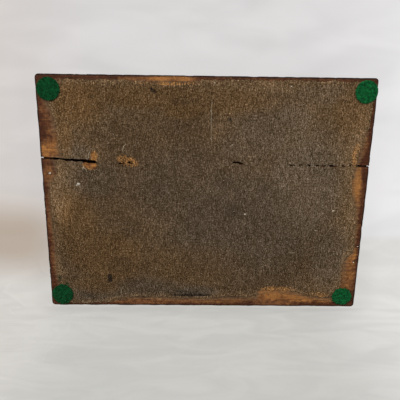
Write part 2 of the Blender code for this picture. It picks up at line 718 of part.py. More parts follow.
def lid_hinge(side, sign, frames, boards, brass, screw):
    """One butt hinge: two flush leaves, a pin and four screws."""
    ledge_frame, lid_frame = frames
    ledge, lid = boards
    middle_x = sign * (HALF_X - HINGE_INSET)
    end, joint = HINGE_LENGTH / 2, HINGE_LENGTH / 6
    outer_spans = ((-end, -joint - GLUE_GAP), (joint + GLUE_GAP, end))
    leaf_name = "lid_hinge_" + side
    ledge_leaf = hinge_leaf(leaf_name + "_ledge_leaf", 1, outer_spans, middle_x, ledge_frame, brass)
    lid_leaf = hinge_leaf(leaf_name + "_lid_leaf", -1, ((-joint, joint),), middle_x, lid_frame, brass)
    leaf_recess(ledge, "ledge_recess_" + side, 1, middle_x, ledge_frame)
    leaf_recess(lid, "lid_recess_" + side, -1, middle_x, lid_frame)
    rod_along_x(leaf_name + "_pin", HINGE_PIN_RADIUS, middle_x - end, middle_x + end, brass, ledge_frame)
    screw_y = (KNUCKLE_RADIUS + LEAF_REACH) / 2
    for index, screw_side in enumerate((-1, 1)):
        number = 1 + index + (2 if sign > 0 else 0)
        x = middle_x + screw_side * LEAF_SCREW_SHARE * HINGE_LENGTH
        drive_screw("ledge_screw_%d" % number, screw, ledge_frame, (x, screw_y, TOP_FACE), (ledge_leaf, ledge))
        drive_screw("lid_screw_%d" % number, screw, lid_frame, (x, -screw_y, TOP_FACE), (lid_leaf, lid))


def keyhole(targets):
    """A round hole with a slit below it, through the wall, the escutcheon and the lock's front."""
    centre_z = LOCK_TOP_Z - KEYHOLE_DROP
    foot_z = centre_z - KEYHOLE_LENGTH
    half_slit = KEYHOLE_SLIT / 2
    turn = math.degrees(math.asin(half_slit / KEYHOLE_RADIUS))
    outline = arc((0, centre_z), KEYHOLE_RADIUS, turn - 90, 270 - turn, SMALL_TURN_STEPS)
    outline += [(-half_slit, foot_z), (half_slit, foot_z)]
    depths = (-HALF_Y - OVERRUN, CASE_FRONT_Y + LOCK_WALL + OVERRUN)
    mesh = loft("cutter_keyhole", [[(x, y, z) for x, z in outline] for y in depths])
    cutter = as_cutter(add("cutter_keyhole", mesh, None))
    for target in targets:
        shape_with(target, cutter)


def escutcheon(wall, brass):
    """A brass disc let in flush round the keyhole."""
    place = (0, -HALF_Y, LOCK_TOP_Z - KEYHOLE_DROP - KEYHOLE_RADIUS)
    tilt = math.radians(90)
    bed = rod_profile(ESCUTCHEON_RADIUS + GLUE_GAP, -ESCUTCHEON_THICKNESS - GLUE_GAP, OVERRUN)
    cut_turned(wall, "escutcheon", bed, None, place, tilt)
    disc = turned("escutcheon", rod_profile(ESCUTCHEON_RADIUS, -ESCUTCHEON_THICKNESS, 0))
    return add("escutcheon", disc, brass, location=place, tilt=tilt)


def lock_case(brass):
    """A shallow box, open to the plate, with a slot above for the link's tab."""
    half, low = LOCK_WIDTH / 2, LOCK_TOP_Z - LOCK_HEIGHT
    case = block("lock_case", (-half, CASE_FRONT_Y, low), (half, CASE_BACK_Y, LOCK_TOP_Z), brass)
    inside = half - LOCK_WALL
    floor, lid = CASE_FRONT_Y + LOCK_WALL, LOCK_TOP_Z - LOCK_WALL
    cut_block(case, "lock_inside", (-inside, floor, low + LOCK_WALL), (inside, CASE_BACK_Y + OVERRUN, lid))
    slot = TAB_THICKNESS / 2 + TAB_CLEARANCE
    mouth = LOCK_TOP_Z + OVERRUN
    cut_block(case, "tab_slot", (-slot, floor, lid - OVERRUN), (slot, CASE_BACK_Y + OVERRUN, mouth))
    return case


def lock_bolt(steel):
    """A block that runs under the case's top, with a square nose towards the tab."""
    nose_tip = -TAB_THICKNESS / 2 - TAB_CLEARANCE
    shoulder = nose_tip - BOLT_NOSE_LENGTH
    body_front, body_back = CASE_FRONT_Y + LOCK_WALL + GLUE_GAP, PLATE_FACE_Y - GLUE_GAP
    half_nose = BOLT_NOSE / 2
    body = ((body_front, BOLT_Z - BOLT_HEIGHT / 2), (body_back, BOLT_Z + BOLT_HEIGHT / 2))
    nose = ((BOLT_Y - half_nose, BOLT_Z - half_nose), (BOLT_Y + half_nose, BOLT_Z + half_nose))
    rings = []
    for x, ((y0, z0), (y1, z1)) in (
        (shoulder - BOLT_LENGTH, body), (shoulder, body), (shoulder, nose), (nose_tip, nose)
    ):
        rings.append([(x, y0, z0), (x, y1, z0), (x, y1, z1), (x, y0, z1)])
    add("lock_bolt", loft("lock_bolt", rings), steel)


def lock_plate(wall, screw, brass):
    """The plate that closes the lock towards the inside of the box, with a screw in each ear."""
    half, low = LOCK_WIDTH / 2 + PLATE_EAR, LOCK_TOP_Z - LOCK_HEIGHT
    plate = block("lock_plate", (-half, PLATE_FACE_Y, low), (half, FRONT_INNER_Y, LOCK_TOP_Z), brass)
    for side, sign in SIDES:
        place = (sign * (half - PLATE_EAR / 2), FRONT_INNER_Y, LOCK_TOP_Z - LOCK_HEIGHT / 2)
        drive_screw("lock_screw_" + side, screw, None, place, (plate, wall), math.radians(-90))


def link_plate(lid, screw, frame, brass):
    """A plate under the lid with a hoop that drops into the lock; the bolt passes the hoop's eye."""
    eye_y, eye_z = in_lid_frame(BOLT_Y, BOLT_Z)
    half_x, half_y = LINK_LENGTH / 2, LINK_WIDTH / 2
    high = UNDER_FACE + LINK_THICKNESS
    plate = block(
        "link_plate", (-half_x, eye_y - half_y, UNDER_FACE), (half_x, eye_y + half_y, high), brass, frame
    )
    half_tab = TAB_THICKNESS / 2
    hoop = block(
        "link_hoop", (-half_tab, eye_y - TAB_HALF, eye_z - TAB_HALF),
        (half_tab, eye_y + TAB_HALF, high), brass, frame,
    )
    half_eye, through = TAB_EYE / 2, half_tab + OVERRUN
    cut_block(
        hoop, "hoop_eye", (-through, eye_y - half_eye, eye_z - half_eye),
        (through, eye_y + half_eye, eye_z + half_eye), frame,
    )
    cut_block(
        plate, "hoop_mortise", (-half_tab - GLUE_GAP, eye_y - TAB_HALF - GLUE_GAP, UNDER_FACE - OVERRUN),
        (half_tab + GLUE_GAP, eye_y + TAB_HALF + GLUE_GAP, high + OVERRUN), frame,
    )
    cut_block(
        lid, "link_bed", (-half_x - GLUE_GAP, eye_y - half_y - GLUE_GAP, UNDER_FACE - OVERRUN),
        (half_x + GLUE_GAP, eye_y + half_y + GLUE_GAP, high + GLUE_GAP), frame,
    )
    for side, sign in SIDES:
        place = (sign * (half_x - LINK_SCREW_INSET), eye_y, UNDER_FACE)
        drive_screw("link_screw_" + side, screw, frame, place, (plate, lid), math.radians(180))


def ink_cells(wood):
    """Two closed cells under the ledge's ends, which keep ink off the papers."""
    for side, sign in SIDES:
        outer, inner = sign * (INNER_X - GLUE_GAP), sign * BAY_HALF_WIDTH
        low = (min(outer, inner), CELL_FRONT_Y, WALL_Z)
        high = (max(outer, inner), CELL_FRONT_Y + CELL_THICKNESS, WALL_TOP_Z)
        block("ink_cell_front_" + side, low, high, wood)
        outer = sign * (BAY_HALF_WIDTH + CELL_THICKNESS)
        low = (min(outer, inner), CELL_FRONT_Y + CELL_THICKNESS + GLUE_GAP, WALL_Z)
        high = (max(outer, inner), BACK_INNER_Y - GLUE_GAP, WALL_TOP_Z)
        block("ink_cell_side_" + side, low, high, wood)


def pigeonhole_shelf(wood):
    half = BAY_HALF_WIDTH - GLUE_GAP
    low = (-half, CELL_FRONT_Y, SHELF_Z)
    high = (half, BACK_INNER_Y - GLUE_GAP, SHELF_Z + SHELF_THICKNESS)
    block("pigeonhole_shelf", low, high, wood)


def drawer(frame, wood, boxwood):
    """The drawer's five boards and its knob, in a frame at the foot of the drawer's front."""
    half = BAY_HALF_WIDTH - SLIDE_GAP
    length = BACK_INNER_Y - SLIDE_GAP - CELL_FRONT_Y
    behind = DRAWER_FRONT + GLUE_GAP
    front = block("drawer_front", (-half, 0, 0), (half, DRAWER_FRONT, DRAWER_HEIGHT), wood, frame)
    block("drawer_bottom", (-half, behind, 0), (half, length, DRAWER_BOTTOM), wood, frame)
    low_z = DRAWER_BOTTOM + GLUE_GAP
    for side, sign in SIDES:
        outer, inner = sign * half, sign * (half - DRAWER_WALL)
        low = (min(outer, inner), behind, low_z)
        block("drawer_side_" + side, low, (max(outer, inner), length, DRAWER_HEIGHT), wood, frame)
    inside = half - DRAWER_WALL - GLUE_GAP
    block("drawer_back", (-inside, length - DRAWER_WALL, low_z), (inside, length, DRAWER_HEIGHT), wood, frame)
    knob(front, frame, boxwood)


def knob(front, frame, boxwood):
    """A turned knob whose spigot sits in a blind hole in the drawer's front."""
    place, tilt = (0, 0, DRAWER_HEIGHT / 2), math.radians(90)
    spigot = KNOB_NECK_RADIUS - GLUE_GAP
    ball = KNOB_REACH - KNOB_RADIUS * math.sin(math.radians(75))
    profile = [(0, -KNOB_SPIGOT), (spigot, -KNOB_SPIGOT), (spigot, GLUE_GAP), (KNOB_NECK_RADIUS, GLUE_GAP)]
    profile += [(KNOB_NECK_RADIUS, ball / 2)]
    profile += arc((0, ball), KNOB_RADIUS, -30, 75, DOME_STEPS) + [(0, KNOB_REACH)]
    add("drawer_knob", turned("drawer_knob", profile, SMALL_TURN_STEPS), boxwood, frame, place, tilt)
    hole = rod_profile(KNOB_NECK_RADIUS, -KNOB_SPIGOT - GLUE_GAP, OVERRUN)
    cut_turned(front, "knob_hole", hole, frame, place, tilt, SMALL_TURN_STEPS)


def inkwell_glass(name, frame, place, glass):
    """A thick glass well: round body, narrow neck, open mouth."""
    shoulder, low = -GLUE_GAP, -WELL_DEPTH
    bore, neck_bore = WELL_RADIUS - WELL_WALL, NECK_RADIUS - NECK_WALL
    roof = shoulder - WELL_WALL
    profile = (
        (0, low), (WELL_RADIUS - WELL_CHAMFER, low), (WELL_RADIUS, low + WELL_CHAMFER),
        (WELL_RADIUS, shoulder - WELL_CHAMFER), (WELL_RADIUS - WELL_CHAMFER, shoulder),
        (NECK_RADIUS, shoulder), (NECK_RADIUS, NECK_RISE), (neck_bore, NECK_RISE), (neck_bore, roof),
        (bore, roof - WELL_CHAMFER), (bore, low + WELL_FLOOR + WELL_CHAMFER),
        (bore - WELL_CHAMFER, low + WELL_FLOOR), (0, low + WELL_FLOOR),
    )
    add(name, turned(name, profile), glass, frame, place)


def collar_mesh(name):
    """The flange on the ledge and the ring that stands round the glass neck."""
    low, inner = GLUE_GAP, NECK_RADIUS + GLUE_GAP
    step, top = low + COLLAR_FLANGE, low + COLLAR_HEIGHT
    profile = (
        (inner, low), (COLLAR_FLANGE_RADIUS, low), (COLLAR_FLANGE_RADIUS, step),
        (COLLAR_RADIUS, step), (COLLAR_RADIUS, top), (inner, top),
    )
    return turned(name, profile, closed=True)


def inkwell_collar(name, frame, place, brass):
    """The collar with a lug behind it that carries the middle knuckle."""
    collar = add(name, collar_mesh(name), brass, frame, place)
    half = CAP_KNUCKLE_WIDTH / 2
    x, y, z = place
    deep = COLLAR_RADIUS - COLLAR_FLANGE
    lug = block(
        "lug_" + name, (x - half, y + deep, z + COLLAR_FLANGE),
        (x + half, y + CAP_AXIS_Y + CAP_KNUCKLE_RADIUS, z + GLUE_GAP + COLLAR_HEIGHT), None, frame,
    )
    shape_with(collar, as_cutter(lug), "UNION")
    axis = (x, y + CAP_AXIS_Y, z + SEAT)
    knuckle = rod_along_x("knuckle_" + name, CAP_KNUCKLE_RADIUS, -half, half, None, frame, axis)
    shape_with(collar, as_cutter(knuckle), "UNION")
    bore = rod_along_x(
        "bore_" + name, CAP_PIN_RADIUS + GLUE_GAP, -half - OVERRUN, half + OVERRUN, None, frame, axis
    )
    shape_with(collar, as_cutter(bore))


def cap_mesh(name):
    """A low dome with a short skirt and a shallow hollow, seated at z = SEAT."""
    top, hollow = SEAT + CAP_HEIGHT, SEAT + CAP_HOLLOW
    skirt = SEAT + CAP_SKIRT
    dome = []
    for radius_share, height_share in arc((0, 0), 1, 0, 90, DOME_STEPS):
        dome.append((CAP_RADIUS * radius_share, skirt + (top - skirt) * height_share))
    dome[-1] = (0, top)
    profile = [(0, hollow), (CAP_HOLLOW_RADIUS, hollow), (CAP_HOLLOW_RADIUS, SEAT), (CAP_RADIUS, SEAT)]
    return turned(name, profile + dome)


def inkwell_cap(name, cap_frame, brass):
    """The cap with two ears round the collar's knuckle, in the frame of its hinge axis."""
    cap = add(name, cap_mesh(name), brass, cap_frame, (0, -CAP_AXIS_Y, -SEAT))
    near = CAP_KNUCKLE_WIDTH / 2 + GLUE_GAP
    inside = CAP_RADIUS - CAP_SKIRT / 2 - CAP_AXIS_Y
    for side, sign in SIDES:
        start, end = sorted((sign * near, sign * (near + CAP_EAR_WIDTH)))
        web = block("web_%s_%s" % (name, side), (start, inside, 0), (end, 0, CAP_SKIRT / 2), None, cap_frame)
        shape_with(cap, as_cutter(web), "UNION")
        ear = rod_along_x("ear_%s_%s" % (name, side), CAP_KNUCKLE_RADIUS, start, end, None, cap_frame)
        shape_with(cap, as_cutter(ear), "UNION")
    reach = near + CAP_EAR_WIDTH + OVERRUN
    bore = rod_along_x("bore_" + name, CAP_PIN_RADIUS + GLUE_GAP, -reach, reach, None, cap_frame)
    shape_with(cap, as_cutter(bore))


def inkwell(side, sign, frame, glass, brass):
    name = "inkwell_" + side
    place = (sign * (HALF_X - INKWELL_INSET), WELL_Y, TOP_FACE)
    inkwell_glass(name + "_glass", frame, place, glass)
    inkwell_collar(name + "_collar", frame, place, brass)
    x, y, z = place
    axis = (x, AXIS_Y + y + CAP_AXIS_Y, AXIS_Z + z + SEAT)
    cap_frame = frame_at(name + "_cap_axis", axis)
    inkwell_cap(name + "_cap", cap_frame, brass)
    end = CAP_KNUCKLE_WIDTH / 2 + GLUE_GAP + CAP_EAR_WIDTH
    pin_place = (x, y + CAP_AXIS_Y, z + SEAT)
    rod_along_x(name + "_cap_pin", CAP_PIN_RADIUS, -end, end, brass, frame, pin_place)


def build():
    clear_scene()
    mahogany = finish("mahogany", (0.16, 0.045, 0.02), 0.35)
    base_wood = finish("bare mahogany", (0.12, 0.04, 0.02), 0.6)
    lining = finish("pine", (0.42, 0.25, 0.12), 0.6)
    cloth = finish("coarse cloth", (0.11, 0.08, 0.045), 0.95)
    felt = finish("green felt", (0.01, 0.11, 0.03), 1.0)
    leather = finish("green leather", (0.02, 0.07, 0.03), 0.5)
    brass = finish("brass", (0.55, 0.36, 0.12), 0.3, 1.0)
    steel = finish("steel", (0.4, 0.4, 0.4), 0.35, 1.0)
    glass = finish("glass", (0.8, 0.9, 0.85), 0.05)
    boxwood = finish("boxwood", (0.5, 0.32, 0.12), 0.4)
    screw = screw_mesh()
    screw.materials.append(brass)

    felt_feet(felt)
    base_cloth(cloth)
    base_board(base_wood)
    side_walls(mahogany)
    wall = front_wall(mahogany)
    back_wall(mahogany)
    ink_cells(lining)
    pigeonhole_shelf(lining)
    drawer(frame_at("drawer_axis", (0, CELL_FRONT_Y, DRAWER_Z)), lining, boxwood)

    ledge_frame = frame_at("ledge_axis", (0, AXIS_Y, AXIS_Z))
    lid_frame = frame_at("lid_axis", (0, AXIS_Y, AXIS_Z), SLOPE)
    ledge = ledge_board(ledge_frame, mahogany)
    lid = lid_board(lid_frame, mahogany)
    lid_cleats(lid_frame, mahogany)
    writing_leather(lid_frame, leather)
    paper_rest(lid_frame, mahogany)
    for side, sign in SIDES:
        lid_hinge(side, sign, (ledge_frame, lid_frame), (ledge, lid), brass, screw)
        inkwell(side, sign, ledge_frame, glass, brass)

    case = lock_case(brass)
    disc = escutcheon(wall, brass)
    keyhole((wall, case, disc))
    lock_bolt(steel)
    lock_plate(wall, screw, brass)
    link_plate(lid, screw, lid_frame, brass)
    print("hinge axis y %.5f z %.5f, slope %.3f degrees" % (AXIS_Y, AXIS_Z, math.degrees(SLOPE)))


build()
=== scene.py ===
# %% [markdown]
# A writing slope, seen from below
#
# The object is a small sloping desk box that stands on its tall back wall, so that its base faces us. The
# base is a thin board, split along its grain, with a worn cloth glued over it and a felt disc near each
# corner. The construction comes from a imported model, the frame. This script gives each of its boards and
# fittings a finish, and makes the soft and worn pieces anew: the cloth, the felts, the torn lips of the
# crack and the leather.
#
# Everything is in metres, in the frame's own axes: +Z is up when the box stands on its felts, -Y is the
# writer's side, where the lock is. The base therefore looks down, and the camera is below it.

# %% Load the frame
import json
import math

import bmesh
import bpy
import numpy as np
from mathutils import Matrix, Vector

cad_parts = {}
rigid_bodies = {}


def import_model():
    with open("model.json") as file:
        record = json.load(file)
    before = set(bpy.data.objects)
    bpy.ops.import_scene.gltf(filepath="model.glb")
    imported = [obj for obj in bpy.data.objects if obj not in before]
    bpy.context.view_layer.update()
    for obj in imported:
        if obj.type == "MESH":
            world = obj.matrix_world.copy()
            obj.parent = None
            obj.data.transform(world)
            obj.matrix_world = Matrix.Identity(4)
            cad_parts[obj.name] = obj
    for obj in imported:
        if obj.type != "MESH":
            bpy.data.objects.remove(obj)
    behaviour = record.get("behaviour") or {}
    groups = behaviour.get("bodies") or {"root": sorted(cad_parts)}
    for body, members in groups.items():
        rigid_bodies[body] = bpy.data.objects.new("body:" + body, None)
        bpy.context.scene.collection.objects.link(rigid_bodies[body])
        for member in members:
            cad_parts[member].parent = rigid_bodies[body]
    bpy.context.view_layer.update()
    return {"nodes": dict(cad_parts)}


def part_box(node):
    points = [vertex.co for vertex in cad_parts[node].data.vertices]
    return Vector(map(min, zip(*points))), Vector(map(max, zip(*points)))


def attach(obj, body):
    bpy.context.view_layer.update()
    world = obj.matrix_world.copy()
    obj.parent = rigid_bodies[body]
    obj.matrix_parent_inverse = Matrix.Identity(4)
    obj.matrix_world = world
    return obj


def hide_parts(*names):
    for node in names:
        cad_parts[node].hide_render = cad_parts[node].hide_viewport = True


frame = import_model()

# %% [markdown]
# The base board is the piece that everything here is measured from. Its two halves share one outline, so
# the lowest corner of the one and the highest corner of the other give the board's width and depth.

# %% Sizes taken from the frame
MM = 0.001
BOARD_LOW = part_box("base_board_front")[0]
BOARD_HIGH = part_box("base_board_back")[1]
WIDTH = BOARD_HIGH.x - BOARD_LOW.x
DEPTH = BOARD_HIGH.y - BOARD_LOW.y
BOARD_FACE_Z = BOARD_LOW.z
BOARD_TOP_Z = BOARD_HIGH.z
CLOTH_LOW_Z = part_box("base_cloth")[0].z
CLOTH_HIGH_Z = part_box("base_cloth")[1].z
print("board %.1f x %.1f mm, its face at z %.2f mm" % (WIDTH / MM, DEPTH / MM, BOARD_FACE_Z / MM))


def on_board(x_share, y_share):
    """A place on the base as shares of its width, from the left, and of its depth, from the front."""
    return (np.asarray(x_share) - 1 / 2) * WIDTH, (np.asarray(y_share) - 1 / 2) * DEPTH


# %% [markdown]
# A new piece is a grid of points worked out as one numpy array, and the grid's cells are its faces. The
# helpers below turn such a grid into a mesh. Where two sides of a grid meet, as round a disc, the doubled
# points are merged afterwards, and the faces are turned to point outwards.

# %% From grids to meshes
def grid_quads(rows, columns, wrap=False):
    """Four corners of each cell of a grid, counted row by row. With wrap, the last column meets the first."""
    cells = columns if wrap else columns - 1
    row = np.arange(rows - 1)[:, None] * columns
    here = np.arange(cells)[None, :]
    there = (here + 1) % columns
    quads = np.stack([row + here, row + there, row + columns + there, row + columns + here], axis=-1)
    return quads.reshape(-1, 4)


def mesh_of(name, points, faces):
    """A mesh from an array of points and an array of faces that all have as many corners."""
    mesh = bpy.data.meshes.new(name)
    mesh.vertices.add(len(points))
    mesh.vertices.foreach_set("co", np.asarray(points, np.float32).ravel())
    mesh.loops.add(faces.size)
    mesh.loops.foreach_set("vertex_index", np.asarray(faces, np.int32).ravel())
    mesh.polygons.add(len(faces))
    mesh.polygons.foreach_set("loop_start", np.arange(0, faces.size, faces.shape[1], dtype=np.int32))
    mesh.update(calc_edges=True)
    return mesh


def closed_up(mesh, distance=0.01 * MM):
    """Merges doubled points, drops faces that have no area and turns the rest outwards."""
    bm = bmesh.new()
    bm.from_mesh(mesh)
    bmesh.ops.remove_doubles(bm, verts=bm.verts[:], dist=distance)
    bmesh.ops.dissolve_degenerate(bm, edges=bm.edges[:], dist=distance / 10)
    bmesh.ops.recalc_face_normals(bm, faces=bm.faces[:])
    bm.to_mesh(mesh)
    bm.free()
    return mesh


def piece(name, mesh, material, body, smooth=True):
    """An object at the origin, shown with its material, which rides on a body of the frame."""
    obj = bpy.data.objects.new(name, mesh)
    bpy.context.scene.collection.objects.link(obj)
    mesh.materials.append(material)
    if smooth:
        mesh.shade_smooth()
    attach(obj, body)
    return obj


def joined(parts):
    """Several (points, faces) pairs as one pair."""
    points, faces, count = [], [], 0
    for part_points, part_faces in parts:
        points.append(part_points)
        faces.append(part_faces + count)
        count += len(part_points)
    return np.concatenate(points), np.concatenate(faces)


# %% [markdown]
# Old wood and cloth are never quite straight. Their small swells are sums of plane waves: each wave runs in
# a direction of its own, and a seed fixes the directions, so the same piece comes out at each run.

# %% Swells for worn surfaces
def swell(x, y, length, seed, waves=9):
    """The mean of sine waves about one length long, in seeded directions, scaled to a spread of about one."""
    rng = np.random.default_rng(seed)
    turn = rng.uniform(0, math.tau, waves)
    pace = math.tau / (length * rng.uniform(0.7, 1.6, waves))
    phase = rng.uniform(0, math.tau, waves)
    x, y = np.asarray(x)[..., None], np.asarray(y)[..., None]
    return np.sin(x * pace * np.cos(turn) + y * pace * np.sin(turn) + phase).sum(-1) * math.sqrt(2 / waves)


def smooth_step(value, low, high):
    """0 below low, 1 above high, and an S-shaped rise between them."""
    share = np.clip((value - low) / (high - low), 0, 1)
    return share * share * (3 - 2 * share)


# %% [markdown]
# Materials are node trees. Written node by node they get long, so a small class adds one node for each call
# and gives back its output. Patterns read Object coordinates: every object here sits at the origin, so
# these are metres in the frame, and a noise scale of 1000 makes features about a millimetre wide.

# %% A helper for node trees
class Finish:
    """A material whose node tree is written as calls. Each call adds one node and gives its output."""

    def __init__(self, name):
        self.material = bpy.data.materials.new(name)
        self.material.use_nodes = True
        self.nodes = self.material.node_tree.nodes
        self.links = self.material.node_tree.links
        self.shader = self.nodes["Principled BSDF"]
        self.place = self.nodes.new("ShaderNodeTexCoord").outputs["Object"]

    def feed(self, socket, value):
        if isinstance(value, bpy.types.NodeSocket):
            self.links.new(value, socket)
        elif hasattr(value, "__len__") and len(value) == 3 and socket.type == "RGBA":
            socket.default_value = (*value, 1)
        else:
            socket.default_value = value

    def node(self, kind, sockets, output=0, **settings):
        node = self.nodes.new("ShaderNode" + kind)
        for key, value in settings.items():
            setattr(node, key, value)
        for key, value in sockets.items():
            self.feed(node.inputs[key], value)
        return node.outputs[output]

    def math(self, operation, a, b=0.0, c=0.0):
        return self.node("Math", {0: a, 1: b, 2: c}, operation=operation)

    def add(self, a, b):
        return self.math("ADD", a, b)

    def times(self, a, b):
        return self.math("MULTIPLY", a, b)

    def less(self, a, b):
        return self.math("SUBTRACT", a, b)

    def mix(self, share, a, b):
        """Colour a where share is 0, and colour b where it is 1."""
        return self.node("Mix", {0: share, 6: a, 7: b}, 2, data_type="RGBA")

    def tint(self, colour, factor):
        """A colour made lighter or darker by a factor."""
        return self.node("VectorMath", {0: colour, "Scale": factor}, operation="SCALE")

    def spread(self, value, low, high, to_low=0.0, to_high=1.0):
        """Maps low and high to two other values, with a smooth rise between them."""
        sockets = {0: value, 1: low, 2: high, 3: to_low, 4: to_high}
        return self.node("MapRange", sockets, interpolation_type="SMOOTHSTEP")

    def stretched(self, x, y, z, shift=(0, 0, 0), place=None):
        """The place, shifted and then drawn out along each axis by a factor below 1."""
        sockets = {"Vector": place or self.place, "Location": shift, "Scale": (x, y, z)}
        return self.node("Mapping", sockets)

    def noise(self, scale, detail=3.0, roughness=0.5, place=None, distortion=0.0):
        sockets = {
            "Vector": place or self.place, "Scale": scale, "Detail": detail,
            "Roughness": roughness, "Distortion": distortion,
        }
        return self.node("TexNoise", sockets)

    def attribute(self, name):
        """A number that the mesh holds at each of its points."""
        return self.node("Attribute", {}, "Fac", attribute_name=name)

    def bump(self, height, depth, strength=1.0, under=None):
        """Bends the light as a relief would that is depth metres deep where height is 1."""
        sockets = {"Height": height, "Distance": depth, "Strength": strength}
        if under:
            sockets["Normal"] = under
        self.feed(self.shader.inputs["Normal"], self.node("Bump", sockets))
        return self.shader.inputs["Normal"].links[0].from_socket

    def set(self, **values):
        """Shader sockets by name, with spaces written as underscores."""
        for key, value in values.items():
            self.feed(self.shader.inputs[key.replace("_", " ")], value)
        return self.material


# %% [markdown]
# The camera stands where the photographer stood: 42 cm from the base, a little above its middle and tilted
# down by about 16 degrees. Up in the picture is the box's front, so the camera's up axis points to -Y. The
# lens was fitted to the four corners of the board in the picture, which is 400 pixels wide.

# %% The camera
from mathutils import Matrix, Vector

PICTURE_WIDTH = 400
LENS_PIXELS = 460
CAMERA_PLACE = Vector((-0.0120, -0.1157, BOARD_FACE_Z - 0.4200))
CAMERA_FORWARD = Vector((0.0155, 0.2683, 0.9632)).normalized()
CAMERA_UP = Vector((-0.0099, -0.9632, 0.2684))


def make_camera():
    """A camera whose axes are worked out from where it looks and from which way is up."""
    data = bpy.data.cameras.new("camera")
    data.sensor_width = 36
    data.lens = data.sensor_width * LENS_PIXELS / PICTURE_WIDTH
    data.clip_start = 0.01
    camera = bpy.data.objects.new("camera", data)
    bpy.context.scene.collection.objects.link(camera)
    right = CAMERA_FORWARD.cross(CAMERA_UP).normalized()
    up = right.cross(CAMERA_FORWARD)
    camera.matrix_world = Matrix((
        (right.x, up.x, -CAMERA_FORWARD.x, CAMERA_PLACE.x),
        (right.y, up.y, -CAMERA_FORWARD.y, CAMERA_PLACE.y),
        (right.z, up.z, -CAMERA_FORWARD.z, CAMERA_PLACE.z),
        (0, 0, 0, 1),
    ))
    bpy.context.scene.camera = camera
    return camera


camera = make_camera()
print("camera lens %.1f mm" % camera.data.lens)

# %% [markdown]
# The stage has two sides. Seen from above, the box stands on a plain pale floor. Seen from below, as in the
# picture, it stands on its back wall on a white sheet, in front of another. These two sheets glow, with their
# light and shade painted in. Each plane shows on one side only and only to the camera and to mirrors, so
# neither side shades the other.

# %% The stage
FLOOR_SIZE = 12
FLOOR_COLOUR = (0.72, 0.72, 0.71)
WORLD_COLOUR = (0.80, 0.80, 0.80)
SHEET_LEFT_COLOUR = (0.675, 0.635, 0.610)
SHEET_MIDDLE_COLOUR = (0.700, 0.680, 0.680)
SHEET_RIGHT_COLOUR = (0.805, 0.795, 0.800)
LYING_LEFT_COLOUR = (0.680, 0.655, 0.620)
LYING_MIDDLE_COLOUR = (0.585, 0.578, 0.548)
LYING_RIGHT_COLOUR = (0.740, 0.730, 0.710)
FOLD_SHADOW_COLOUR = (0.480, 0.400, 0.330)
FOLD_Y = 0.041
BACKDROP_Z = BOARD_FACE_Z + 2 * MM
BACKDROP_INSET = 2 * MM
TABLE_GAP = 0.3 * MM


def sheet(name, points, material, faces=((0, 1, 2, 3),)):
    """A flat piece of the stage, from its corners and its faces."""
    mesh = mesh_of(name, np.array(points, float), np.array(faces))
    mesh.materials.append(material)
    obj = bpy.data.objects.new(name, mesh)
    bpy.context.scene.collection.objects.link(obj)


def one_sided(finish, shader):
    """Shows a shader to the camera and to mirrors from the front, and nothing to any other ray."""
    path = finish.nodes.new("ShaderNodeLightPath")
    seen = finish.math("MAXIMUM", path.outputs["Is Camera Ray"], path.outputs["Is Glossy Ray"])
    back = finish.nodes.new("ShaderNodeNewGeometry").outputs["Backfacing"]
    shown = finish.times(seen, finish.less(1.0, back))
    clear = finish.nodes.new("ShaderNodeBsdfTransparent").outputs[0]
    mixed = finish.node("MixShader", {0: shown, 1: clear, 2: shader})
    finish.links.new(mixed, finish.nodes["Material Output"].inputs["Surface"])
    return finish.material


def floor_finish():
    """Matt and pale near the box, where it takes the shadow, and the room's own tone far away."""
    finish = Finish("pale floor")
    finish.set(Base_Color=FLOOR_COLOUR, Roughness=0.9)
    away = finish.node("VectorMath", {0: finish.place}, "Value", operation="LENGTH")
    far = finish.node("Emission", {"Color": WORLD_COLOUR, "Strength": 1.0})
    blend = finish.node("MixShader", {0: finish.spread(away, 0.35, 1.6), 1: finish.shader.outputs[0], 2: far})
    return one_sided(finish, blend)


def shade_beside_box(finish, x, y):
    """Darkness beside the box: the distance outside its outline, faded over a few centimetres."""
    over_x = finish.less(finish.math("ABSOLUTE", x), WIDTH / 2)
    over_y = finish.less(finish.math("ABSOLUTE", y), DEPTH / 2)
    over = finish.math("MAXIMUM", over_x, over_y)
    return finish.spread(over, 0.0, 0.03, 1.0, 0.0)


def split_axes(finish):
    axes = finish.nodes.new("ShaderNodeSeparateXYZ")
    finish.links.new(finish.place, axes.inputs[0])
    return axes.outputs["X"], axes.outputs["Y"], axes.outputs["Z"]


def lying_tone(finish, x):
    """The lying sheet's painted shading: darker in the middle, paler to the right, and its crumples."""
    # Painted light: the lying sheet is darkest in the middle, a little paler at the left and palest at the
    # right.
    colour = finish.mix(finish.spread(x, -0.19, -0.10), LYING_LEFT_COLOUR, LYING_MIDDLE_COLOUR)
    colour = finish.mix(finish.spread(x, 0.09, 0.20), colour, LYING_RIGHT_COLOUR)
    # Painted shade: noise tints the sheet lighter and darker where it crumples, and each fold is painted lit
    # on one side and shaded on the other.
    crumple_shading = finish.noise(26.0, 3.0, 0.5, finish.stretched(0.6, 1.2, 1.6), 1.2)
    colour = finish.tint(colour, finish.spread(crumple_shading, 0.30, 0.70, 0.955, 1.045))
    fold_shading = finish.noise(17.0, 1.0, 0.4, finish.stretched(0.7, 1.0, 1.0, (0.3, 0.1, 0.0)), 1.6)
    ridge = finish.spread(finish.less(fold_shading, 0.5), -0.05, 0.05, -1.0, 1.0)
    crest = finish.less(1.0, finish.math("ABSOLUTE", ridge))
    depth = finish.spread(x, -0.20, -0.09, 0.11, 0.03)
    relief = finish.times(finish.times(ridge, crest), depth)
    return finish.tint(colour, finish.add(relief, 1.0))


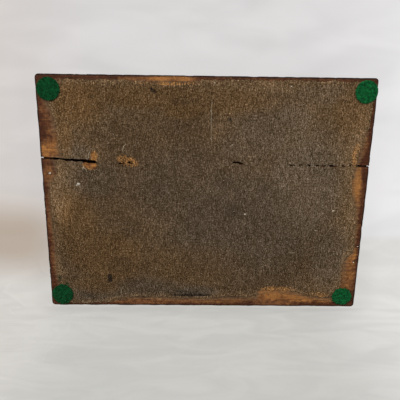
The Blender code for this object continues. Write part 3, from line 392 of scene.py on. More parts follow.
def backdrop_finish():
    """The upright sheet, brighter to the right, with a soft fold at its foot that is shadowed on the left."""
    finish = Finish("white sheet, upright")
    x, y, _ = split_axes(finish)
    shade = shade_beside_box(finish, x, y)
    wave = finish.noise(9.0, 2.0, place=finish.stretched(1.0, 0.35, 1.0))
    # Painted light: the upright sheet is painted brighter towards the right, and noise shades its crumples.
    crumple_shading = finish.noise(20.0, 2.0, 0.4, finish.stretched(0.5, 1.3, 1.0), 0.8)
    upright = finish.mix(finish.spread(x, -0.20, -0.09), SHEET_LEFT_COLOUR, SHEET_MIDDLE_COLOUR)
    upright = finish.mix(finish.spread(x, 0.05, 0.20), upright, SHEET_RIGHT_COLOUR)
    upright = finish.tint(upright, finish.spread(crumple_shading, 0.30, 0.70, 0.95, 1.05))
    wavy = finish.add(y, finish.times(wave, 0.012))
    at_left = finish.spread(x, -0.18, -0.10, 1.0, 0.0)
    near_fold = finish.times(finish.spread(wavy, FOLD_Y - 0.05, FOLD_Y), at_left)
    upright = finish.mix(near_fold, upright, FOLD_SHADOW_COLOUR)
    past_fold = finish.times(finish.spread(wavy, FOLD_Y + 0.015, FOLD_Y + 0.062, 0.95, 0.0), at_left)
    lying = finish.mix(past_fold, lying_tone(finish, x), FOLD_SHADOW_COLOUR)
    colour = finish.mix(finish.spread(wavy, FOLD_Y, FOLD_Y + 0.010), upright, lying)
    colour = finish.tint(colour, finish.spread(shade, 0.0, 1.0, 1.0, 0.96))
    glow = finish.node("Emission", {"Color": colour, "Strength": 1.0})
    return one_sided(finish, glow)


def table_finish():
    """The lying sheet, with the soft shadow that the box throws towards us."""
    finish = Finish("white sheet, lying")
    x, _, z = split_axes(finish)
    near = finish.spread(z, -0.022, 0.0, 0.0, 1.0)
    inside = finish.spread(finish.math("ABSOLUTE", x), WIDTH / 2 - 0.01, WIDTH / 2 + 0.02, 1.0, 0.0)
    shadow = finish.times(near, inside)
    colour = finish.tint(lying_tone(finish, x), finish.spread(shadow, 0.0, 1.0, 1.0, 0.90))
    glow = finish.node("Emission", {"Color": colour, "Strength": 1.0})
    return one_sided(finish, glow)


def backdrop(wide):
    """An upright sheet round the box: four strips that leave the base's own rectangle open."""
    half_x, half_y = WIDTH / 2 - BACKDROP_INSET, DEPTH / 2 - BACKDROP_INSET
    inner = [(-half_x, -half_y), (-half_x, half_y), (half_x, half_y), (half_x, -half_y)]
    outer = [(-wide, -wide), (-wide, wide), (wide, wide), (wide, -wide)]
    points = [(x, y, BACKDROP_Z) for x, y in outer + inner]
    faces = [(i, (i + 1) % 4, 4 + (i + 1) % 4, 4 + i) for i in range(4)]
    sheet("photo_backdrop", points, backdrop_finish(), faces)


def build_stage():
    far, wide, side = FLOOR_SIZE / 2, 1.5, 1.2
    sheet("floor", [(-far, -far, 0), (far, -far, 0), (far, far, 0), (-far, far, 0)], floor_finish())
    backdrop(wide)
    table_y = BOARD_HIGH.y + TABLE_GAP
    table = [(-wide, table_y, -side), (wide, table_y, -side), (wide, table_y, 0), (-wide, table_y, 0)]
    sheet("photo_table", table, table_finish())


build_stage()

# %% [markdown]
# The light is plain and soft. The world gives half of it from all round, and wide lamps give the rest.
# Lamps above light the box as it stands, and lamps below light the base as the room lit it in the picture.
# Their powers are set so that a matt surface renders about in the colour that its material names.

# %% The light
WORLD_STRENGTH = 0.55


def area_lamp(name, place, target, size, power):
    data = bpy.data.lights.new(name, "AREA")
    data.shape = "DISK"
    data.size = size
    data.energy = power
    lamp = bpy.data.objects.new(name, data)
    bpy.context.scene.collection.objects.link(lamp)
    lamp.location = place
    lamp.rotation_mode = "QUATERNION"
    lamp.rotation_quaternion = (Vector(target) - Vector(place)).to_track_quat("-Z", "Y")
    return lamp


def make_world():
    """Half strength for light, and the plain backdrop's own tone for the camera, mirrors and glass."""
    world = bpy.data.worlds.new("pale room")
    bpy.context.scene.world = world
    world.use_nodes = True
    nodes, links = world.node_tree.nodes, world.node_tree.links
    sky = nodes["Background"]
    sky.inputs["Color"].default_value = (*WORLD_COLOUR, 1)
    path = nodes.new("ShaderNodeLightPath")
    strength = nodes.new("ShaderNodeMapRange")
    links.new(path.outputs["Is Diffuse Ray"], strength.inputs["Value"])
    strength.inputs["To Min"].default_value = 1.0
    strength.inputs["To Max"].default_value = WORLD_STRENGTH / WORLD_COLOUR[0]
    links.new(strength.outputs[0], sky.inputs["Strength"])


make_world()
area_lamp("lamp_key", (-0.70, -0.90, 1.10), (0, 0, 0.05), 0.9, 9.0)
area_lamp("lamp_fill", (0.95, -0.30, 0.90), (0, 0, 0.05), 0.9, 5.0)
area_lamp("lamp_back", (0.20, 1.10, 0.80), (0, 0, 0.05), 0.8, 4.0)
area_lamp("lamp_base", (-0.15, -0.75, -0.95), (0, 0, 0), 1.0, 13.0)
bpy.context.scene.view_settings.view_transform = "Standard"

# %% [markdown]
# The base is one board that has split along its grain. The crack runs from side to side about a third of
# the way from the front. It is drawn as a table of places, read as a line with an opening that varies, so
# that the board's lips, the cloth's slit and the stains beside them all follow the same line.

# %% The crack
CRACK_OPENING = 2.2 * MM
# Share of the width, share of the depth from the front, share of the opening
CRACK_SHARES = (
    (0.000, 0.3320, 0.60), (0.015, 0.3335, 0.65), (0.040, 0.3360, 0.95), (0.065, 0.3380, 1.00),
    (0.120, 0.3440, 1.15), (0.150, 0.3470, 1.35), (0.172, 0.3490, 1.30),
    (0.180, 0.3492, 0.40), (0.230, 0.3500, 0.40),
    (0.236, 0.3502, 0.90), (0.280, 0.3498, 0.90), (0.295, 0.3495, 0.30), (0.380, 0.3485, 0.25),
    (0.500, 0.3470, 0.25), (0.580, 0.3460, 0.95), (0.618, 0.3465, 0.95), (0.680, 0.3490, 0.25),
    (0.740, 0.3512, 0.40), (0.755, 0.3516, 0.75), (0.900, 0.3522, 0.78), (0.945, 0.3527, 0.70),
    (0.960, 0.3528, 0.72), (0.985, 0.3532, 0.68), (1.000, 0.3534, 0.52),
)


def crack_line(x):
    """The y of the crack's middle at each x, and half its opening there."""
    x_share, y_share, opening_share = np.array(CRACK_SHARES).T
    here = x / WIDTH + 1 / 2
    middle = (np.interp(here, x_share, y_share) - 1 / 2) * DEPTH
    return middle, np.interp(here, x_share, opening_share) * CRACK_OPENING / 2


# %% [markdown]
# Stains and worn patches lie where hands, damp and glue left them, so they are tables too. Each row is one
# soft oval. A mesh that is fine enough can hold the strongest of them at each of its points, and the
# material then reads it as an attribute and breaks its rim up with noise.

# %% Soft ovals
def ovals(x, y, table):
    """The strongest oval at each place. A row is a middle in shares, two reaches in mm and a strength."""
    best = np.zeros_like(x)
    for x_share, y_share, reach_x, reach_y, strength in table:
        middle_x, middle_y = on_board(x_share, y_share)
        away = np.hypot((x - middle_x) / (reach_x * MM), (y - middle_y) / (reach_y * MM))
        best = np.maximum(best, strength * smooth_step(1.25 - away, 0.0, 0.7))
    return best


def hold(mesh, name, values):
    """Keeps one number for each point of a mesh."""
    layer = mesh.attributes.new(name, "FLOAT", "POINT")
    layer.data.foreach_set("value", np.asarray(values, np.float32).ravel())


def points_of(mesh):
    points = np.zeros(len(mesh.vertices) * 3, np.float32)
    mesh.vertices.foreach_get("co", points)
    return points.reshape(-1, 3).astype(float)


# %% [markdown]
# The cloth is a coarse weave glued over the whole board, and its margin has worn back to a ragged line. Its
# edges are tables of places, as shares of the board's width and depth. The cloth is cut in two along the
# crack, so each side edge is two tables, and the slit at the left end has a table for each of its lips.

# %% The cloth's torn edges
FRONT_EDGE_SHARES = (
    (0.036, 0.022), (0.072, 0.024), (0.098, 0.020), (0.148, 0.023), (0.197, 0.020), (0.256, 0.021),
    (0.311, 0.024), (0.341, 0.028), (0.387, 0.029), (0.433, 0.027), (0.475, 0.022), (0.498, 0.017),
    (0.541, 0.015), (0.597, 0.013), (0.656, 0.014), (0.705, 0.016), (0.761, 0.012), (0.820, 0.016),
    (0.859, 0.013), (0.902, 0.015), (0.970, 0.019),
)
RIGHT_FRONT_SHARES = (
    (0.970, 0.019), (0.987, 0.036), (0.989, 0.089), (0.985, 0.156), (0.984, 0.200), (0.975, 0.222),
    (0.972, 0.258), (0.964, 0.293), (0.959, 0.329), (0.957, 0.3528),
)
RIGHT_BACK_SHARES = (
    (0.957, 0.3528), (0.954, 0.364), (0.952, 0.422), (0.954, 0.480), (0.962, 0.507), (0.970, 0.542),
    (0.975, 0.600), (0.977, 0.667), (0.977, 0.733), (0.967, 0.747), (0.954, 0.760), (0.951, 0.800),
    (0.949, 0.853), (0.948, 0.898), (0.931, 0.953),
)
BACK_EDGE_SHARES = (
    (0.066, 0.986), (0.118, 0.988), (0.157, 0.986), (0.190, 0.979), (0.216, 0.968), (0.249, 0.958),
    (0.279, 0.953), (0.367, 0.955), (0.459, 0.956), (0.511, 0.960), (0.544, 0.954), (0.610, 0.949),
    (0.669, 0.954), (0.671, 0.942), (0.674, 0.918), (0.695, 0.919), (0.738, 0.918), (0.780, 0.921),
    (0.807, 0.927), (0.833, 0.940), (0.859, 0.947), (0.892, 0.951), (0.931, 0.953),
)
LEFT_FRONT_SHARES = (
    (0.036, 0.022), (0.030, 0.053), (0.030, 0.098), (0.036, 0.120), (0.043, 0.142), (0.048, 0.169),
    (0.051, 0.200), (0.054, 0.231), (0.056, 0.267), (0.059, 0.293), (0.067, 0.324), (0.072, 0.334),
)
LEFT_BACK_SHARES = (
    (0.044, 0.341), (0.048, 0.378), (0.044, 0.409), (0.034, 0.431), (0.022, 0.444), (0.021, 0.489),
    (0.020, 0.556), (0.022, 0.622), (0.026, 0.667), (0.029, 0.711), (0.027, 0.836), (0.030, 0.867),
    (0.033, 0.889), (0.033, 0.951), (0.066, 0.986),
)
# The slit's two lips, from the left edge to where the cloth bridges the crack again
FRONT_LIP_SHARES = (
    (0.072, 0.334), (0.098, 0.336), (0.125, 0.339), (0.151, 0.335), (0.156, 0.309), (0.167, 0.311),
    (0.169, 0.346), (0.171, 0.3491),
)
BACK_LIP_SHARES = (
    (0.044, 0.341), (0.082, 0.344), (0.125, 0.349), (0.138, 0.369), (0.154, 0.376), (0.167, 0.379),
    (0.170, 0.352), (0.171, 0.3491),
)
SEAM_START_SHARE = 0.171
SEAM_END_SHARE = 0.957
SLIT_COLUMNS_SHARE = 0.14
# Small tears in the bridge: where each starts and ends, as shares of the width, and half its width
TEARS = (
    (0.236, 0.251, 0.95 * MM), (0.261, 0.279, 1.00 * MM),
    (0.584, 0.614, 1.05 * MM), (0.755, 0.770, 0.75 * MM),
    (0.781, 0.793, 0.70 * MM), (0.805, 0.822, 0.80 * MM),
    (0.831, 0.843, 0.75 * MM), (0.850, 0.862, 0.80 * MM),
    (0.873, 0.899, 0.90 * MM), (0.914, 0.925, 0.65 * MM), (0.936, 0.944, 0.60 * MM),
)


def places(*tables):
    """Tables of places, end to end, as points 1 mm apart."""
    x, y = on_board(*np.concatenate([np.array(table) for table in tables]).T)
    run = np.concatenate([[0], np.cumsum(np.hypot(np.diff(x), np.diff(y)))])
    even = np.arange(0, run[-1], MM)
    return np.stack([np.interp(even, run, x), np.interp(even, run, y)], axis=-1)


def off_edge(x, y):
    """How far each place is from the cloth's torn edge, on whichever side of it."""
    left = (LEFT_FRONT_SHARES, FRONT_LIP_SHARES[:1], BACK_LIP_SHARES[:1], LEFT_BACK_SHARES)
    edge = np.concatenate([
        places(*left), places(BACK_EDGE_SHARES),
        places(RIGHT_FRONT_SHARES, RIGHT_BACK_SHARES), places(FRONT_EDGE_SHARES),
    ])
    nearest = []
    for part in np.array_split(np.stack([x, y], axis=-1), 40):
        away = part[:, None] - edge[None]
        nearest.append(np.hypot(away[..., 0], away[..., 1]).min(1))
    return np.concatenate(nearest)


# %% [markdown]
# Each half of the board is a profile carried round its outline. The profile starts under the cloth, runs
# out to the edge, turns over the worn arris, climbs the side and runs back in on top. Going in means going
# towards the half's middle line, where the two faces close. The outer arris is rounded by wear, with nicks;
# along the crack the lips are sharp and ragged.

# %% The two halves of the base board
BOARD_CORNER = 3.0 * MM
OUTLINE_STEP = 1.0 * MM
ARRIS = 1.0 * MM
LIP_ARRIS = 0.15 * MM
FACE_INSETS = np.array([26, 15, 9.5, 6.5, 4.5, 3.0, 2.0]) * MM
SIDE_SHARES = (0.35, 0.7)
TOP_INSET = 2.5 * MM


def resampled(points, step):
    """Points at even steps along a line of straight runs."""
    run = np.concatenate([[0], np.cumsum(np.hypot(*np.diff(points, axis=0).T))])
    even = np.linspace(0, run[-1], max(2, round(run[-1] / step)))
    return np.stack([np.interp(even, run, points[:, 0]), np.interp(even, run, points[:, 1])], axis=-1)


def board_outline(side):
    """A half's outline: its outside edge from left to right, then its lip along the crack, right to left."""
    turn = np.radians(np.linspace(0, 90, 9))
    corner_x = WIDTH / 2 - BOARD_CORNER * (1 - np.sin(turn))
    corner_y = DEPTH / 2 - BOARD_CORNER * (1 - np.cos(turn))
    right = np.stack([corner_x, side * corner_y], axis=-1)
    lip_x = np.linspace(WIDTH / 2, -WIDTH / 2, 400)
    middle, half_open = crack_line(lip_x)
    ragged = 0.22 * MM * swell(lip_x, side + 0 * lip_x, 2.5 * MM, 31)
    ragged = ragged + 0.12 * MM * swell(lip_x, 0 * lip_x, 9 * MM, 32)
    lip = np.stack([lip_x, middle + side * np.maximum(half_open + ragged, 0.1 * MM)], axis=-1)
    outer = np.concatenate([lip[-1:], right[::-1] * (-1, 1), right, lip[:1]])
    outer = resampled(outer, OUTLINE_STEP)
    lip = resampled(lip, OUTLINE_STEP)[1:-1]
    on_lip = np.concatenate([np.zeros(len(outer)), np.ones(len(lip))])
    return np.concatenate([outer, lip]), on_lip


def towards_middle(outline, side):
    """For each outline point, the way to the nearest point of the half's middle line, and how far that is."""
    edge_y = side * DEPTH / 2
    crack_y = crack_line(np.array([0.0]))[0][0]
    middle_y, depth = (edge_y + crack_y) / 2, abs(edge_y - crack_y)
    reach = WIDTH / 2 - depth / 2
    nearest = np.stack([np.clip(outline[:, 0], -reach, reach), np.full(len(outline), middle_y)], axis=-1)
    away = nearest - outline
    length = np.hypot(*away.T)
    return away / length[:, None], length


def board_half(name, side, material, node):
    """A closed board, worked out ring by ring. A ring has an inset and a height for each outline point."""
    outline, on_lip = board_outline(side)
    inward, length = towards_middle(outline, side)
    x, y = outline.T
    worn = np.maximum(swell(x, y, 14 * MM, 41 + side), 0) * 0.16 * MM
    chips = np.maximum(swell(x, y, 4 * MM, 44) - 1.2, 0) * 0.25 * MM
    nick = np.where(on_lip > 0, 0, worn + chips)
    radius = np.where(on_lip > 0, LIP_ARRIS, ARRIS * (1.0 + 0.3 * swell(x, y, 20 * MM, 46)))
    rings = [(length, BOARD_FACE_Z + 0 * x)]
    for inset in FACE_INSETS:
        rings.append((np.minimum(inset, length * 0.9), BOARD_FACE_Z + 0 * x))
    for turn in np.radians((0, 22.5, 45, 67.5, 90)):
        rings.append((nick + radius * (1 - np.sin(turn)), BOARD_FACE_Z + radius * (1 - np.cos(turn))))
    straight = BOARD_TOP_Z - BOARD_FACE_Z - 2 * radius
    for share in SIDE_SHARES:
        rings.append((nick * (1 - share), BOARD_FACE_Z + radius + share * straight))
    for turn in np.radians((90, 45, 0)):
        rings.append((radius / 2 * (1 - np.sin(turn)), BOARD_TOP_Z - radius / 2 * (1 - np.cos(turn))))
    rings.append((np.minimum(TOP_INSET, length * 0.9), BOARD_TOP_Z + 0 * x))
    rings.append((length, BOARD_TOP_Z + 0 * x))
    points = np.stack([np.c_[outline + inward * inset[:, None], height] for inset, height in rings])
    flat = points[..., 2] < BOARD_FACE_Z + 0.01 * MM
    wave = 0.05 * MM * (1 + swell(points[..., 0], points[..., 1], 30 * MM, 47).clip(-1, 1))
    points[..., 2] += np.where(flat, wave, 0)
    mesh = mesh_of(name, points.reshape(-1, 3), grid_quads(len(rings), len(outline), wrap=True))
    closed_up(mesh)
    colour_board(mesh)
    mesh.set_sharp_from_angle(angle=math.radians(50))
    obj = piece(name, mesh, material, "box")
    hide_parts(node)
    print(name, len(mesh.polygons), "faces")
    return obj


# %% [markdown]
# The bare margin of the board was stained nearly black-brown. Where it was rubbed or the cloth has come
# away, the wood shows orange. Between the two lies a red-brown. One attribute runs from 0, stained, over
# red-brown to 1, bare orange wood.

# %% Where the base is worn
STAINED_WOOD = (0.054, 0.0165, 0.0060)
REDDISH_WOOD = (0.118, 0.046, 0.0160)
RUBBED_WOOD = (0.275, 0.114, 0.0300)
WORN_LINT = (0.128, 0.078, 0.0390)
CLOTH_BROWN = (0.072, 0.045, 0.0210)
RUBBED_OVALS = (
    (0.036, 0.293, 12, 9, 0.78), (0.018, 0.305, 5, 8, 1.00),
    (0.050, 0.220, 9, 20, 0.45), (0.030, 0.130, 8, 16, 0.38),
    (0.158, 0.325, 5, 7, 0.95), (0.150, 0.362, 9, 5, 0.85),
    (0.257, 0.335, 11, 5, 0.55), (0.265, 0.350, 8, 3, 0.80),
    (0.390, 0.014, 27, 3.2, 0.95), (0.300, 0.018, 20, 3, 0.50),
    (0.600, 0.014, 60, 3.0, 0.24), (0.830, 0.015, 40, 3.0, 0.28),
    (0.970, 0.260, 6, 16, 0.62), (0.966, 0.430, 5, 18, 1.05),
    (0.976, 0.600, 4, 34, 0.42), (0.970, 0.830, 8, 20, 0.72),
    (0.735, 0.940, 20, 6.5, 1.00), (0.830, 0.962, 18, 5, 1.00),
    (0.700, 0.935, 9, 6, 0.95), (0.900, 0.965, 12, 5, 0.75),
    (0.520, 0.972, 50, 4, 0.50), (0.300, 0.975, 50, 4.5, 0.48),
    (0.020, 0.760, 4, 24, 0.42), (0.018, 0.600, 5, 24, 0.34),
    (0.035, 0.440, 8, 12, 0.50), (0.020, 0.400, 6, 12, 0.55), (0.100, 0.970, 14, 4, 0.35),
    (0.800, 0.952, 17, 6, 0.90), (0.668, 0.955, 9, 6, 0.60),
    (0.030, 0.560, 9, 40, 0.40), (0.045, 0.160, 10, 22, 0.42),
    (0.960, 0.860, 12, 24, 0.70), (0.962, 0.540, 8, 46, 0.70),
    (0.974, 0.745, 6, 10, 1.00), (0.740, 0.983, 26, 6, 0.55),
)


def colour_board(mesh):
    """Holds how far each point is rubbed, how much lint it keeps, and 0 where rim and crack get painted shade.
    """
    x, y, z = points_of(mesh).T
    below = z < (BOARD_FACE_Z + BOARD_TOP_Z) / 2
    hold(mesh, "rubbed", np.where(below, ovals(x, y, RUBBED_OVALS), 0.3))
    edge = np.minimum(WIDTH / 2 - np.abs(x), DEPTH / 2 - np.abs(y))
    lint = 0.72 * smooth_step(off_edge(x, y), 8.0 * MM, 0.3 * MM) * smooth_step(edge, 1.5 * MM, 7.0 * MM)
    hold(mesh, "lint", np.where(below, lint, 0.0))
    # Painted shade: the last two millimetres to the outline, round the worn arris, and the crack's inner faces
    # go dark.
    light = smooth_step(edge, 0.4 * MM, 2.0 * MM)
    in_crack = (np.abs(y - crack_line(x)[0]) < 2 * CRACK_OPENING) & (z > BOARD_FACE_Z + LIP_ARRIS)
    hold(mesh, "rim", np.where(in_crack & (z < BOARD_TOP_Z - ARRIS), 0.0, light))


def bare_mahogany():
    """Stained wood, grain along X, rubbed through in places, with painted shade along its rim and crack."""
    finish = Finish("bare mahogany")
    fibre = finish.noise(700.0, 4.0, 0.6, finish.stretched(0.08, 1.0, 1.0))
    bands = finish.noise(90.0, 3.0, 0.5, finish.stretched(0.10, 1.0, 1.0))
    mottle = finish.noise(300.0, 5.0, 0.65)
    uneven = finish.add(finish.times(mottle, 1.8), finish.times(bands, 0.7))
    rubbed = finish.add(finish.attribute("rubbed"), finish.less(uneven, 1.25))
    colour = finish.mix(finish.spread(rubbed, 0.05, 0.55), STAINED_WOOD, REDDISH_WOOD)
    colour = finish.mix(finish.spread(rubbed, 0.45, 1.05), colour, RUBBED_WOOD)
    lint = finish.add(finish.attribute("lint"), finish.less(mottle, 0.5))
    colour = finish.mix(finish.spread(lint, 0.15, 0.85, 0.0, 0.85), colour, WORN_LINT)
    # Painted shade: a near-black line along the arris and inside the crack.
    dark = finish.spread(finish.attribute("rim"), 0.0, 1.0, 0.88, 0.0)
    colour = finish.mix(dark, colour, (0.0100, 0.0040, 0.0028))
    colour = finish.tint(colour, finish.spread(fibre, 0.30, 0.70, 0.68, 1.32))
    colour = finish.tint(colour, finish.spread(finish.noise(900.0, 3.0, 0.6), 0.30, 0.70, 0.78, 1.22))
    finish.bump(finish.add(fibre, finish.times(mottle, 0.5)), 0.15 * MM, 0.8)
    return finish.set(Base_Color=colour, Roughness=0.65, Specular_IOR_Level=0.12)


base_wood = bare_mahogany()
board_half("board_front", -1, base_wood, "base_board_front")
board_half("board_back", 1, base_wood, "base_board_back")

# %% [markdown]
# Between the torn edges the cloth is two grids, one in front of the crack and one behind. They share their
# points where the cloth still bridges the crack, so the slit and the small tears open by themselves
# wherever the two lips part. Both lips wander by the same few tenths of a millimetre, because equal places
# move alike.

# %% The cloth's lips along the crack
def torn(x, y):
    """Moves places by the few tenths of a millimetre that a torn edge wanders. Equal places move alike."""
    stray_x = 0.30 * MM * swell(x, y, 3.0 * MM, 51) + 0.35 * MM * swell(x, y, 11 * MM, 52)
    stray_y = 0.30 * MM * swell(x, y, 3.0 * MM, 53) + 0.35 * MM * swell(x, y, 11 * MM, 54)
    return np.stack([x + stray_x, y + stray_y], axis=-1)


def along(shares, where):
    """Places at shares of the length of a line drawn through a table of places."""
    x, y = on_board(*np.array(shares).T)
    run = np.concatenate([[0], np.cumsum(np.hypot(np.diff(x), np.diff(y)))])
    return np.interp(where * run[-1], run, x), np.interp(where * run[-1], run, y)


def seam(lip_shares, side, columns):
    """A lip of the slit, and after it the line where the cloth bridges the crack, opened at each tear."""
    where = np.linspace(0, 1, columns)
    slit = where < SLIT_COLUMNS_SHARE
    lip_x, lip_y = along(lip_shares, where[slit] / SLIT_COLUMNS_SHARE)
    rest = (where[~slit] - SLIT_COLUMNS_SHARE) / (1 - SLIT_COLUMNS_SHARE)
    x_share = SEAM_START_SHARE + (SEAM_END_SHARE - SEAM_START_SHARE) * rest
    x = (x_share - 1 / 2) * WIDTH
    y = crack_line(x)[0]
    opening = np.zeros_like(x)
    for start, end, half_width in TEARS:
        away = (x_share - (start + end) / 2) / ((end - start) / 2)
        opening = np.maximum(opening, half_width * np.sqrt(np.clip(1 - away ** 4, 0, 1)))
    ragged = np.clip(1 + 0.5 * swell(x, side + 0 * x, 1.5 * MM, 55), 0.3, 1.6)
    place = torn(np.concatenate([lip_x, x]), np.concatenate([lip_y, y]))
    place[len(lip_x):, 1] += side * opening * ragged
    return place


# %% [markdown]
# A Coons patch fills four curves: the sheet ruled from the lower to the upper curve, plus the one ruled
# from left to right, less the one that is ruled through the four corners only. Rows crowd towards the torn
# edges, where the shape is fine, and are wide apart in the plain middle.

# %% The cloth
CLOTH_COLUMNS = 400
CLOTH_CONTRAST = 4.9
FRONT_ROWS = 34
BACK_ROWS = 46


def crowded(count):
    """Shares from 0 to 1 that lie closer together at both ends."""
    even = np.linspace(0, 1, count)
    return even - 0.80 * np.sin(math.tau * even) / math.tau


def coons(bottom, top, left, right, rows):
    """Points between four curves. rows says how far up the side curves each row lies."""
    s, t = np.linspace(0, 1, len(bottom))[None, :, None], rows[:, None, None]
    ruled = (1 - t) * bottom + t * top + (1 - s) * left[:, None] + s * right[:, None]
    corners = (1 - s) * (1 - t) * bottom[0] + s * (1 - t) * bottom[-1]
    corners = corners + (1 - s) * t * top[0] + s * t * top[-1]
    return ruled - corners


def cloth_patches():
    """The grids of the cloth in front of the crack and behind it."""
    where, front, back = np.linspace(0, 1, CLOTH_COLUMNS), crowded(FRONT_ROWS), crowded(BACK_ROWS)
    front_seam = seam(FRONT_LIP_SHARES, -1, CLOTH_COLUMNS)
    back_seam = seam(BACK_LIP_SHARES, 1, CLOTH_COLUMNS)
    front_patch = coons(
        torn(*along(FRONT_EDGE_SHARES, where)), front_seam,
        torn(*along(LEFT_FRONT_SHARES, front)), torn(*along(RIGHT_FRONT_SHARES, front)), front,
    )
    back_patch = coons(
        back_seam, torn(*along(BACK_EDGE_SHARES, where)),
        torn(*along(LEFT_BACK_SHARES, back)), torn(*along(RIGHT_BACK_SHARES, back)), back,
    )
    front_patch[-1], back_patch[0] = front_seam, back_seam
    return front_patch, back_patch


def cloth_height(x, y, lift):
    """The cloth's middle: nearly flat, with slow swells, and lifted a little at its torn edges."""
    middle = (CLOTH_LOW_Z + CLOTH_HIGH_Z) / 2
    curl = lift * 0.05 * MM * (1 + swell(x, y, 6 * MM, 62).clip(-1, 1))
    return middle + 0.04 * MM * swell(x, y, 22 * MM, 61) - curl


GREY_OVALS = (
    (0.62, 0.60, 80, 60, 0.70), (0.45, 0.45, 60, 40, 0.50),
    (0.80, 0.45, 40, 60, 0.75), (0.70, 0.20, 40, 30, 0.60),
    (0.90, 0.75, 20, 35, 0.55), (0.62, 0.30, 30, 25, 0.45),
    (0.30, 0.92, 50, 14, 0.60), (0.13, 0.95, 22, 12, 0.70),
    (0.47, 0.93, 24, 7, 0.90), (0.16, 0.42, 30, 18, 0.50),
    (0.10, 0.32, 20, 12, 0.55), (0.84, 0.06, 30, 12, 0.35),
)
WARM_OVALS = (
    (0.12, 0.10, 26, 24, 0.75), (0.33, 0.08, 60, 12, 0.60),
    (0.55, 0.10, 60, 12, 0.50), (0.10, 0.65, 22, 40, 0.60),
    (0.20, 0.78, 36, 30, 0.60), (0.45, 0.80, 60, 22, 0.35),
    (0.93, 0.13, 18, 24, 0.40), (0.43, 0.13, 20, 10, 0.70),
    (0.42, 0.09, 30, 8, 0.45), (0.16, 0.90, 24, 10, 0.55), (0.07, 0.22, 10, 30, 0.60),
)
# Orange wood that shows through between the threads
BARED_OVALS = (
    (0.160, 0.325, 4, 6, 0.9), (0.150, 0.365, 9, 4, 0.8),
    (0.245, 0.332, 6, 5, 0.85), (0.262, 0.344, 10, 4.5, 0.80),
    (0.275, 0.356, 7, 3, 0.65), (0.180, 0.372, 3, 2.5, 0.5),
    (0.040, 0.300, 8, 6, 0.6), (0.052, 0.255, 5, 10, 0.4),
    (0.395, 0.028, 26, 2.5, 0.8), (0.330, 0.032, 10, 1.8, 0.5), (0.730, 0.913, 20, 3.0, 0.6),
    (0.870, 0.940, 14, 4.0, 0.68), (0.957, 0.310, 5, 14, 0.72),
    (0.950, 0.420, 4, 16, 0.3), (0.060, 0.985, 10, 3.0, 0.2),
)
DARK_OVALS = (
    (0.338, 0.054, 1.6, 2.0, 1.0), (0.346, 0.060, 1.3, 2.0, 0.9), (0.569, 0.170, 2.0, 2.2, 0.9),
    (0.194, 0.866, 2.6, 3.6, 1.5), (0.164, 0.088, 3.0, 2.4, 0.6), (0.420, 0.100, 14, 5, 0.35),
    (0.088, 0.850, 5.0, 3.0, 0.55), (0.455, 0.946, 24, 1.5, 1.00), (0.440, 0.935, 20, 3.5, 0.45),
    (0.262, 0.880, 10, 5.0, 0.35), (0.120, 0.945, 10, 4.0, 0.40),
    (0.550, 0.420, 14, 9, 0.32), (0.690, 0.460, 12, 8, 0.30),
    (0.590, 0.555, 13, 9, 0.34), (0.230, 0.800, 16, 12, 0.32),
    (0.400, 0.200, 14, 12, 0.28), (0.270, 0.640, 14, 14, 0.28),
    (0.860, 0.200, 16, 12, 0.28), (0.600, 0.790, 24, 9, 0.28),
    (0.350, 0.500, 40, 26, 0.22), (0.500, 0.300, 46, 14, 0.20),
    (0.800, 0.650, 30, 24, 0.20), (0.300, 0.300, 22, 12, 0.20),
)
# Cloth that is paler in broad patches, most of all towards the right
PALE_OVALS = (
    (1.02, 0.42, 46, 92, 1.00), (0.88, 0.30, 62, 90, 0.58),
    (0.70, 0.20, 60, 56, 0.32), (0.05, 0.36, 22, 52, 0.66),
    (0.055, 0.480, 12, 32, 1.20), (0.970, 0.310, 8, 18, 1.40), (0.760, 0.035, 90, 8, 0.60),
    (0.10, 0.16, 30, 30, 0.36),
    (0.95, 0.88, 36, 34, 0.45), (0.14, 0.30, 18, 14, 0.42), (0.90, 0.92, 20, 10, 0.50),
)


def colour_cloth(mesh):
    """Holds the cloth's stains, how thin and how pale it is, and the line of the crack beneath it."""
    x, y, _ = points_of(mesh).T
    hold(mesh, "pale", ovals(x, y, PALE_OVALS))
    hold(mesh, "grey", ovals(x, y, GREY_OVALS))
    hold(mesh, "warm", ovals(x, y, WARM_OVALS))
    hold(mesh, "worn", smooth_step(off_edge(x, y), 9.0 * MM, 0.5 * MM))
    away = np.abs(y - crack_line(x)[0])
    hold(mesh, "stain", np.maximum(ovals(x, y, DARK_OVALS), 0.08 * smooth_step(away, 1.2 * MM, 0.2 * MM)))
    hold(mesh, "bared", ovals(x, y, BARED_OVALS))


